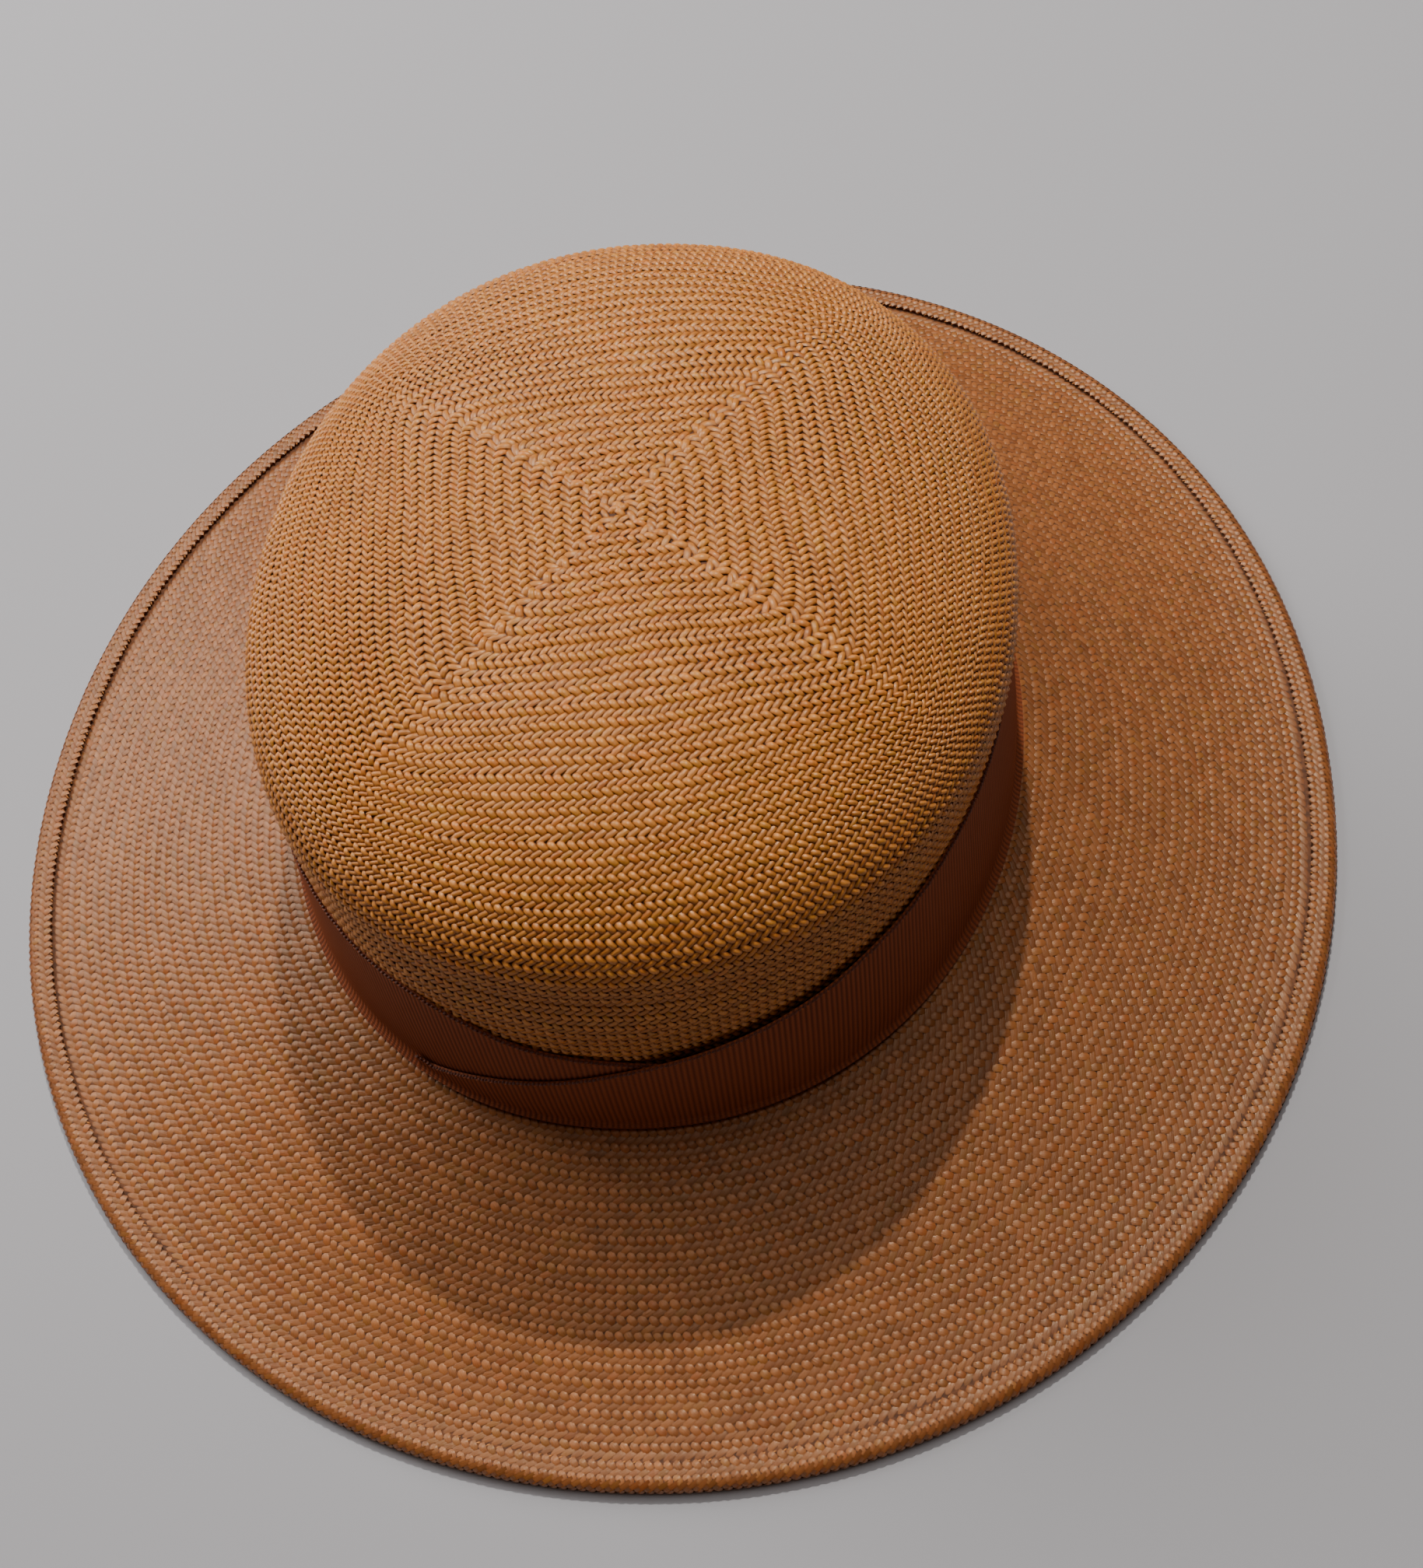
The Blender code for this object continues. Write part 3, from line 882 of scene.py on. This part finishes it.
class WeaveSettings(bpy.types.PropertyGroup):
    crown_pitch: length_setting("Crown pitch", "From strand to strand along a row of the crown", 0.00204)
    crown_gap: length_setting("Crown row gap", "From row to row on the crown", 0.00195)
    brim_pitch: length_setting("Brim pitch", "From strand to strand along a row of the brim", 0.00221)
    brim_gap: length_setting("Brim row gap", "From row to row on the brim", 0.00159)
    hem_pitch: length_setting("Hem pitch", "From strand to strand along the hem", 0.00200)
    crown_height: length_setting("Crown relief", "How far a strand stands out on the crown", 0.00056)
    brim_height: length_setting("Brim relief", "How far a strand stands out on the brim", 0.00026)
    hem_height: length_setting("Hem relief", "How far a strand stands out on the hem", 0.00022)
    stitch_gap: length_setting("Stitch gap", "From stitch to stitch in the groove of the hem", 0.0022)
    seed: IntProperty(name="Seed", description="Changes which strands are light or dark", default=5)


class RibbonSettings(bpy.types.PropertyGroup):
    rib_gap: length_setting("Rib gap", "From rib to rib along the ribbon", 0.00120)
    rib_height: length_setting("Rib height", "How far the ribs stand out", 0.00016)
    picot_gap: length_setting("Twist gap", "From turn to turn of the twisted edge", 0.00105)
    colour: colour_setting("Ribbon colour", "Colour of the ribs", (0.29, 0.070, 0.021))
    edge_colour: colour_setting("Edge colour", "Colour of the twisted edge", (0.15, 0.030, 0.008))


class StrawSettings(bpy.types.PropertyGroup):
    crown_light: colour_setting("Crown, light", "The crown's lightest strands", (0.75, 0.295, 0.063))
    crown_dark: colour_setting("Crown, dark", "The crown's darkest strands", (0.34, 0.110, 0.020))
    # The gaps' colours are painted shade: the straw underneath, painted dark
    crown_gap: colour_setting("Crown, gaps", "Between the crown's strands", (0.15, 0.045, 0.011))
    # The brim's straw is the crown's straw painted darker, as painted shade for the weaker light on the brim
    brim_light: colour_setting("Brim, light", "The brim's lightest strands", (0.41, 0.146, 0.044))
    brim_dark: colour_setting("Brim, dark", "The brim's darkest strands", (0.14, 0.042, 0.011))
    # Painted shade, as for the crown's gaps
    brim_gap: colour_setting("Brim, gaps", "Between the brim's strands", (0.19, 0.060, 0.014))


class StageSettings(bpy.types.PropertyGroup):
    key_power: FloatProperty(
        name="Main light", description="Power of the light behind", default=10.2, unit="POWER"
    )
    fill_power: FloatProperty(
        name="Left light", description="Power of the soft light at the left", default=15.5, unit="POWER"
    )
    top_power: FloatProperty(name="Top light", description="Strength of the soft light above", default=1.04)
    sky: FloatProperty(name="Sky", description="Brightness of the surroundings", default=0.065)
    floor: colour_setting("Floor colour", "Colour of the floor", (0.42, 0.425, 0.455))


def straw_and_gap_materials(part):
    """The straw's materials for the crown or the brim, and the painted shade of their gaps, made once and
    shared by their woven pieces.
    """
    if "crown straw" not in bpy.data.materials:
        colours = bpy.context.scene.hat_straw
        group = straw_group()
        straw_material("crown straw", colours.crown_light, colours.crown_dark, group, CROWN_EDGE_SHADE)
        # The brim's colours carry painted shade, darker than the crown's
        straw_material("brim straw", colours.brim_light, colours.brim_dark, group, BRIM_EDGE_SHADE)
        gap_material("crown gaps", tuple(colours.crown_gap))
        gap_material("brim gaps", tuple(colours.brim_gap))
    return bpy.data.materials[f"{part} straw"], bpy.data.materials[f"{part} gaps"]


def weave_tree():
    return bpy.data.node_groups.get("Woven strands") or strand_tree()


def thread_tree():
    return bpy.data.node_groups.get("Beads of thread") or bead_tree()


def weave(name, strands, steps, part, height, across=3):
    """Turns gathered floats into one finished piece."""
    values = {
        "Steps": steps,
        "Steps across": across,
        "Height": height,
        "Seed": bpy.context.scene.hat_weave.seed,
        "Material": straw_and_gap_materials(part)[0],
    }
    return grown_piece(name, strands.points(name), weave_tree(), values)


def crown_rows(strands, rows, side, sink, keep):
    """Rows of floats from the pole outwards: a woven square, then ovals with strands added in bands."""
    settings = bpy.context.scene.hat_weave
    gap = settings.crown_gap
    square_rows = int(SQUARE_HALF / gap)
    shoulder_row = np.interp(1, WAYS, EVEN_RUNS) / gap
    pole = SQUARE_TURN + pi / 2 * np.arange(4)
    strands.add_row(crown_point, 0, POLE_ROW, gap, pole, np.arange(4), side, sink, keep, settings.crown_pitch)
    for number in range(rows):
        row = number + 0.5
        phase = (number % 2) / 2
        if number < square_rows:
            pitch = settings.crown_pitch
            angles, ids = square_angles(crown_point, row, gap, pitch, phase)
        else:
            pitch = None
            if (number - square_rows) % CROWN_BAND == 0 and number < shoulder_row + CROWN_BAND:
                middle = min(row + CROWN_BAND / 2, shoulder_row)
                count = round(row_runs(crown_point, middle, gap)[-1] / settings.crown_pitch)
            angles = even_angles(crown_point, row, gap, count, phase)
            ids = np.arange(count)
        offset = frame_offset(angles, np.full(len(angles), row), gap)
        over = np.maximum(offset, 0) if side > 0 else np.minimum(offset, 0)
        strands.add_row(crown_point, number, row, gap, angles, ids, side, sink + over, keep, pitch)


def ribbon_top(angle):
    """Height of the ribbon's upper edge at these angles."""
    degrees = np.degrees(angle) % 360
    first = RIBBON_ROWS[0][0] % 360
    sweep = np.arange(0, 361, 2)
    tops = []
    for value in sweep:
        high = [blend(RIBBON_ROWS, value)[0] if value <= RIBBON_ROWS[-1][0] else 0]
        high.append(blend(RIBBON_ROWS, value - 360)[0] if value >= first else 0)
        tops.append(max(high))
    return BREAK_FOOT + RIBBON_WIDTH * np.interp(degrees, sweep, tops)


class HAT_OT_weave_crown(bpy.types.Operator):
    """Weave the straw of the crown, outside and inside"""

    bl_idname = "straw_hat.weave_crown"
    bl_label = "Weave the crown"

    def execute(self, context):
        settings = context.scene.hat_weave
        foot_way = 1 + SIDE_HEIGHT / TIP_RUN[-1]
        rows = int(np.interp(foot_way, WAYS, EVEN_RUNS) / settings.crown_gap)

        def on_tip(angles, place):
            return place[:, 2] > SIDE_TOP

        def on_side(angles, place):
            return (place[:, 2] <= SIDE_TOP) & (place[:, 2] > ribbon_top(angles) - RIBBON_LAP)

        for name, keep, steps in (("crown_weave", on_tip, 4), ("crown_side_weave", on_side, 3)):
            outside = Strands(settings.seed)
            crown_rows(outside, rows, 1, -OUTER_SINK, keep)
            piece = weave(name, outside, 4, "crown", settings.crown_height, steps)
        inside = Strands(settings.seed + 1)
        crown_rows(inside, rows, -1, -STRAW - CROWN_LINING_SINK, None)
        lining = weave("crown_weave_inside", inside, 3, "crown", settings.brim_height)
        # The frame's crown shows between the strands in the gaps' painted shade
        set_frame_material("crown", straw_and_gap_materials("crown")[1])
        return {"FINISHED"}


def brim_rows(strands, side, sink):
    """Rows of floats from the foot of the crown out to the hem, with strands added in bands."""
    settings = bpy.context.scene.hat_weave
    rows = round(BRIM_END / settings.brim_gap)
    gap = BRIM_END / rows
    for number in range(rows):
        row = number + 0.5
        if number % BRIM_BAND == 0:
            count = round(row_runs(brim_point, row + BRIM_BAND / 2, gap)[-1] / settings.brim_pitch)
        angles = even_angles(brim_point, row, gap, count, (number % 2) / 2)
        lift = facet_lift(row * gap / BRIM_SPAN)
        strands.add_row(brim_point, number, row, gap, angles, np.arange(count), side, sink + lift)


class HAT_OT_weave_brim(bpy.types.Operator):
    """Weave the straw of the brim, above and below"""

    bl_idname = "straw_hat.weave_brim"
    bl_label = "Weave the brim"

    def execute(self, context):
        settings = context.scene.hat_weave
        above = Strands(settings.seed + 2, TIGHT_PULL_AND_SHEEN)
        brim_rows(above, 1, -OUTER_SINK)
        piece = weave("brim_weave", above, 4, "brim", settings.brim_height)
        below = Strands(settings.seed + 3)
        brim_rows(below, -1, -STRAW - BRIM_LINING_SINK)
        under = weave("brim_weave_below", below, 3, "brim", settings.brim_height)
        # The frame's brim shows between the strands in the gaps' painted shade
        set_frame_material("brim", straw_and_gap_materials("brim")[1])
        return {"FINISHED"}


def ring_mesh(name, rings):
    """A closed tube mesh through rings of points, as an array (rings, points, 3)."""
    count, around = rings.shape[:2]
    index = np.arange(count * around).reshape(count, around)
    after = np.roll(index, -1, 1)
    faces = np.stack([index, after, np.roll(after, -1, 0), np.roll(index, -1, 0)], -1).reshape(-1, 4)
    mesh = bpy.data.meshes.new(name)
    mesh.from_pydata((rings.reshape(-1, 3) + TO_MIDDLE).tolist(), [], faces.tolist())
    mesh.shade_smooth()
    return mesh


NOSE_STEPS = 12  # round the hem's nose
HEM_STEPS = 288  # round the brim's edge
STITCH_SIZE = (0.0013, 0.00042, 0.0004)
STITCH_DEPTH = 0.0005
PICOT_SIZE = (0.0013, 0.0005, 0.0006)


class HAT_OT_turn_hem(bpy.types.Operator):
    """Turn the brim's edge over and stitch it down"""

    bl_idname = "straw_hat.turn_hem"
    bl_label = "Turn the hem"

    def execute(self, context):
        settings = context.scene.hat_weave
        inset = settings.hem_height
        strands = Strands(settings.seed + 4, TIGHT_PULL_AND_SHEEN)
        gap = HEM_RUN / HEM_ROWS
        count = round(row_runs(hem_point, HEM_ROWS / 2, gap)[-1] / settings.hem_pitch)
        for number in range(HEM_ROWS):
            row = number + 0.5
            angles = even_angles(hem_point, row, gap, count, (number % 2) / 2)
            strands.add_row(hem_point, number, row, gap, angles, np.arange(count), 1, -inset)
        piece = weave("hem_weave", strands, 4, "brim", inset)
        self.fold(inset)
        self.stitch(settings)
        return {"FINISHED"}

    def fold(self, inset):
        """The turned edge itself, under its strands, coloured with the gaps' painted shade."""
        section = [(HEM_WIDTH, inset)]
        for k in range(NOSE_STEPS + 1):
            turn = pi * k / NOSE_STEPS
            radius = HEM_NOSE - inset
            section.append((HEM_NOSE - radius * sin(turn), HEM_NOSE - radius * cos(turn)))
        section += [(HEM_WIDTH, HEM_HEIGHT - inset), (HEM_WIDTH, HEM_HEIGHT - HEM_LEAF)]
        section += [(HEM_NOSE, HEM_HEIGHT - HEM_LEAF), (HEM_NOSE, HEM_LEAF), (HEM_WIDTH, HEM_LEAF)]
        around = np.linspace(0, 2 * pi, HEM_STEPS, endpoint=False)
        rings = np.stack([edge_point(around, inward, height) for inward, height in section])
        mesh = ring_mesh("hem_fold", rings)
        mesh.materials.append(straw_and_gap_materials("brim")[1])
        fold = show("hem_fold", mesh)
        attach(fold, "root")
        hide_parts("brim_hem")

    def stitch(self, settings):
        """Short stitches that hold the turned leaf down, in the groove at its inner edge."""
        dice = np.random.default_rng(settings.seed)
        runs = runs_of(edge_point(SWEEP, HEM_WIDTH + 0.0002, HEM_HEIGHT))
        count = round(runs[-1] / settings.stitch_gap)
        angles = np.interp(np.arange(count) * runs[-1] / count, runs, SWEEP)
        place = edge_point(angles, HEM_WIDTH + 0.0001, HEM_HEIGHT - STITCH_DEPTH)
        along = unit(edge_point(angles + 0.001, HEM_WIDTH, 0) - edge_point(angles - 0.001, HEM_WIDTH, 0))
        up = np.zeros_like(along)
        up[:, 2] = 1
        inwards = np.cross(up, along)
        slant = unit(inwards * 0.8 + along * 0.6)
        out = unit(up * 0.8 + inwards * 0.6)
        vectors = {"along": slant, "out": out, "size": np.tile(STITCH_SIZE, (count, 1))}
        threads = point_mesh("hem_stitches", place, vectors, {"tone": dice.random(count)})
        material = thread_material("straw thread", tuple(bpy.context.scene.hat_straw.crown_light), 0.6)
        values = {"Turn": 0.12, "Seed": settings.seed, "Material": material}
        piece = grown_piece("hem_stitches", threads, thread_tree(), values)


FILLET_STEPS = 3
RISE_STEPS = 9


def ribbon_face(angle, top, offset):
    """Places up the ribbon, lying at the given offset on the brim, collar and crown: (angles, places, 3)."""
    columns = []
    for k in range(FILLET_STEPS):
        turn = BREAK_TURN * (1 - k / FILLET_STEPS)
        radius = BREAK_RADIUS - offset
        out = COLLAR_STEP + BREAK_RADIUS - radius * cos(turn)
        columns.append(side_point(angle, BREAK_CENTRE - radius * sin(turn), out))
    full = RIBBON_WIDTH + BREAK_FOOT
    rise = np.maximum(BREAK_FOOT + RIBBON_WIDTH * top - BREAK_CENTRE, offset)
    for k in range(RISE_STEPS + 1):
        height = BREAK_CENTRE + rise * k / RISE_STEPS
        over_collar = np.clip((full - height) / (full - COLLAR_TOP), 0, 1)
        columns.append(side_point(angle, height, offset + COLLAR_STEP * over_collar))
    return np.stack(columns, 1)


class HAT_OT_lay_ribbon(bpy.types.Operator):
    """Lay the ribbed ribbon round the crown, crossed over at the front"""

    bl_idname = "straw_hat.lay_ribbon"
    bl_label = "Lay the ribbon"

    def execute(self, context):
        settings = context.scene.hat_ribbon
        first = RIBBON_ROWS[0][0]
        last = RIBBON_ROWS[-1][0]
        route = np.radians(np.linspace(first, last, 1600))
        runs = runs_of(side_point(route, BREAK_CENTRE + RIBBON_WIDTH / 3, COLLAR_STEP))
        ribs = round(runs[-1] / settings.rib_gap)
        per_rib = 4
        run = np.arange(ribs * per_rib + 1) / per_rib
        angle = np.interp(run * runs[-1] / ribs, runs, route)
        rows = np.array([blend(RIBBON_ROWS, value) for value in np.degrees(angle)])
        top = rows[:, 0]
        inner = CLEARANCE + rows[:, 1] * (RIBBON + CLEARANCE)
        wave = (0.5 + 0.5 * np.cos(2 * pi * run)) * settings.rib_height
        thick = RIBBON - settings.rib_height / 2
        front = ribbon_face(angle, top, inner + thick + wave)
        back = ribbon_face(angle, top, inner)
        sections = np.concatenate([front, back[:, ::-1]], 1)
        mesh = self.body(sections, run, front)
        mesh.materials.append(ribbon_material("grosgrain", tuple(settings.colour)))
        ribbon = show("ribbon", mesh)
        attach(ribbon, "root")
        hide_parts("ribbon_band")
        picot = self.twist(settings, front)
        return {"FINISHED"}

    def body(self, sections, run, front):
        """A closed mesh through the sections, with the ribs' count and the height stored on its points."""
        count, around = sections.shape[:2]
        index = np.arange(count * around).reshape(count, around)
        low = index[:-1]
        high = index[1:]
        faces = np.stack([low, np.roll(low, -1, 1), np.roll(high, -1, 1), high], -1).reshape(-1, 4).tolist()
        faces.append(index[0][::-1].tolist())
        faces.append(index[-1].tolist())
        mesh = bpy.data.meshes.new("ribbon")
        mesh.from_pydata((sections.reshape(-1, 3) + TO_MIDDLE).tolist(), [], faces)
        mesh.shade_smooth()
        mesh.set_sharp_from_angle(angle=radians(60))
        climbs = np.cumsum(np.linalg.norm(np.diff(front, axis=1), axis=-1), 1)
        up = np.concatenate([np.zeros((count, 1)), climbs], 1)
        up = np.concatenate([up, up[:, ::-1]], 1) / WARP_GAP
        values = np.stack([np.repeat(run, around), up.ravel(), np.zeros(count * around)], -1)
        layer = mesh.attributes.new("ribbon_uv", "FLOAT_VECTOR", "POINT")
        layer.data.foreach_set("vector", values.astype(np.float32).ravel())
        return mesh

    def twist(self, settings, front):
        """The twisted thread along the ribbon's upper edge."""
        dice = np.random.default_rng(3)
        crest = front[:, -1]
        runs = runs_of(crest)
        count = round(runs[-1] / settings.picot_gap)
        wanted = np.arange(count) * runs[-1] / count
        place = np.stack([np.interp(wanted, runs, crest[:, axis]) for axis in range(3)], -1)
        along = unit(np.gradient(place, axis=0))
        lower = front[:, -2]
        below = np.stack([np.interp(wanted, runs, lower[:, axis]) for axis in range(3)], -1)
        up = unit(place - below)
        out = unit(np.cross(along, up))
        slant = unit(along * 0.85 + up * 0.5)
        place = place - out * 0.0003 + up * 0.0001
        vectors = {"along": slant, "out": out, "size": np.tile(PICOT_SIZE, (count, 1))}
        points = point_mesh("ribbon_picot", place, vectors, {"tone": dice.random(count)})
        material = thread_material("twisted edge", tuple(settings.edge_colour), 0.55)
        values = {"Turn": 0.08, "Seed": 2, "Material": material}
        piece = grown_piece("ribbon_picot", points, thread_tree(), values)
        return piece


FLOOR_REACH = 6
AIM_HEIGHT = 0.06  # the lamps face this high over the floor


class HAT_OT_set_stage(bpy.types.Operator):
    """Set the floor, the soft lights and the camera"""

    bl_idname = "straw_hat.set_stage"
    bl_label = "Set the stage"

    def execute(self, context):
        settings = context.scene.hat_stage
        self.floor(settings)
        self.lights(settings)
        self.surroundings(settings)
        self.camera()
        return {"FINISHED"}

    def floor(self, settings):
        mesh = bpy.data.meshes.new("floor")
        corners = [(-1, -1, 0), (1, -1, 0), (1, 1, 0), (-1, 1, 0)]
        mesh.from_pydata((np.array(corners) * FLOOR_REACH).tolist(), [], [(0, 1, 2, 3)])
        mesh.materials.append(stage_material("pale floor", tuple(settings.floor), 0.7))
        show("floor", mesh)

    def lights(self, settings):
        """A small lamp behind, a soft one at the left, and an even light from above."""
        self.lamp("key_light", (0.0035, 0.5615, 1.144), settings.key_power, (1.0, 0.95, 0.88), 0.03)
        self.lamp("left_fill", (-1.0, 0.65, 0.80), settings.fill_power, (1.0, 0.97, 0.94), 1.0)
        self.lamp("top_fill", (0.0, 0.35, 1.7), settings.top_power, (1.0, 0.97, 0.94))

    def lamp(self, name, place, power, colour, size=None):
        """A round lamp that faces the hat or, with no size, a wide and even light from that side."""
        if size is None:
            light = bpy.data.lights.new(name, "SUN")
            light.angle = radians(50)
        else:
            light = bpy.data.lights.new(name, "AREA")
            light.shape = "DISK"
            light.size = size
        light.energy = power
        light.color = colour
        lamp = bpy.data.objects.new(name, light)
        back = np.array(place) - (0, 0, AIM_HEIGHT)
        back /= np.linalg.norm(back)
        right = unit(np.cross((0, 1, 0.001), back))
        up = np.cross(back, right)
        turn = Matrix(np.column_stack([right, up, back]).tolist())
        lamp.matrix_world = Matrix.Translation(place) @ turn.to_4x4()
        bpy.context.scene.collection.objects.link(lamp)

    def surroundings(self, settings):
        """Warm light from all round, and a pale background for the camera."""
        world = bpy.data.worlds.new("soft surroundings")
        world.use_nodes = True
        tree = world.node_tree
        warm = tree.nodes["Background"]
        warm.inputs["Color"].default_value = (1.0, 0.61, 0.43, 1)
        warm.inputs["Strength"].default_value = settings.sky
        pale = add_node(tree, "ShaderNodeBackground", None, {"Color": (0.42, 0.42, 0.44, 1), "Strength": 1.0})
        path = add_node(tree, "ShaderNodeLightPath")
        both = tree.nodes.new("ShaderNodeMixShader")
        tree.links.new(path.outputs["Is Camera Ray"], both.inputs[0])
        tree.links.new(warm.outputs[0], both.inputs[1])
        tree.links.new(pale.outputs[0], both.inputs[2])
        tree.links.new(both.outputs[0], tree.nodes["World Output"].inputs["Surface"])
        bpy.context.scene.world = world

    def camera(self):
        """The camera where the photograph was taken, with its own three axes."""
        right = (0.99269, 0.07128, -0.09739)
        up = (-0.00717, 0.84036, 0.54199)
        back = (0.12047, -0.53733, 0.83473)
        lens = bpy.data.cameras.new("camera")
        lens.sensor_fit = "HORIZONTAL"
        lens.sensor_width = 36
        lens.lens = 49.2
        lens.clip_start = 0.01
        camera = bpy.data.objects.new("camera", lens)
        turn = Matrix((right, up, back)).transposed()
        camera.matrix_world = Matrix.Translation((0.069493, -0.265293, 0.407103)) @ turn.to_4x4()
        bpy.context.scene.collection.objects.link(camera)
        bpy.context.scene.camera = camera


class HAT_PT_panel(bpy.types.Panel):
    """Lists the steps that dress the hat, with their sizes and colours"""

    bl_idname = "HAT_PT_panel"
    bl_label = "Straw hat"
    bl_space_type = "VIEW_3D"
    bl_region_type = "UI"
    bl_category = "Straw hat"

    def draw(self, context):
        scene = context.scene
        for settings in (scene.hat_weave, scene.hat_straw, scene.hat_ribbon, scene.hat_stage):
            box = self.layout.box()
            for key in settings.__annotations__:
                box.prop(settings, key)
        for step in STEPS:
            self.layout.operator(step.bl_idname)


STEPS = (
    HAT_OT_set_stage,
    HAT_OT_weave_crown,
    HAT_OT_weave_brim,
    HAT_OT_turn_hem,
    HAT_OT_lay_ribbon,
)
SETTINGS = {
    "hat_weave": WeaveSettings,
    "hat_straw": StrawSettings,
    "hat_ribbon": RibbonSettings,
    "hat_stage": StageSettings,
}


def register():
    for group in (*SETTINGS.values(), *STEPS, HAT_PT_panel):
        bpy.utils.register_class(group)
    for name, group in SETTINGS.items():
        setattr(bpy.types.Scene, name, PointerProperty(type=group))


def unregister():
    for name in SETTINGS:
        delattr(bpy.types.Scene, name)
    for group in (HAT_PT_panel, *reversed(STEPS), *SETTINGS.values()):
        bpy.utils.unregister_class(group)


def main():
    """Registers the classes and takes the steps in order."""
    register()
    bpy.ops.straw_hat.set_stage()
    bpy.ops.straw_hat.weave_crown()
    bpy.ops.straw_hat.weave_brim()
    bpy.ops.straw_hat.turn_hem()
    bpy.ops.straw_hat.lay_ribbon()


if __name__ == "__main__":
    main()
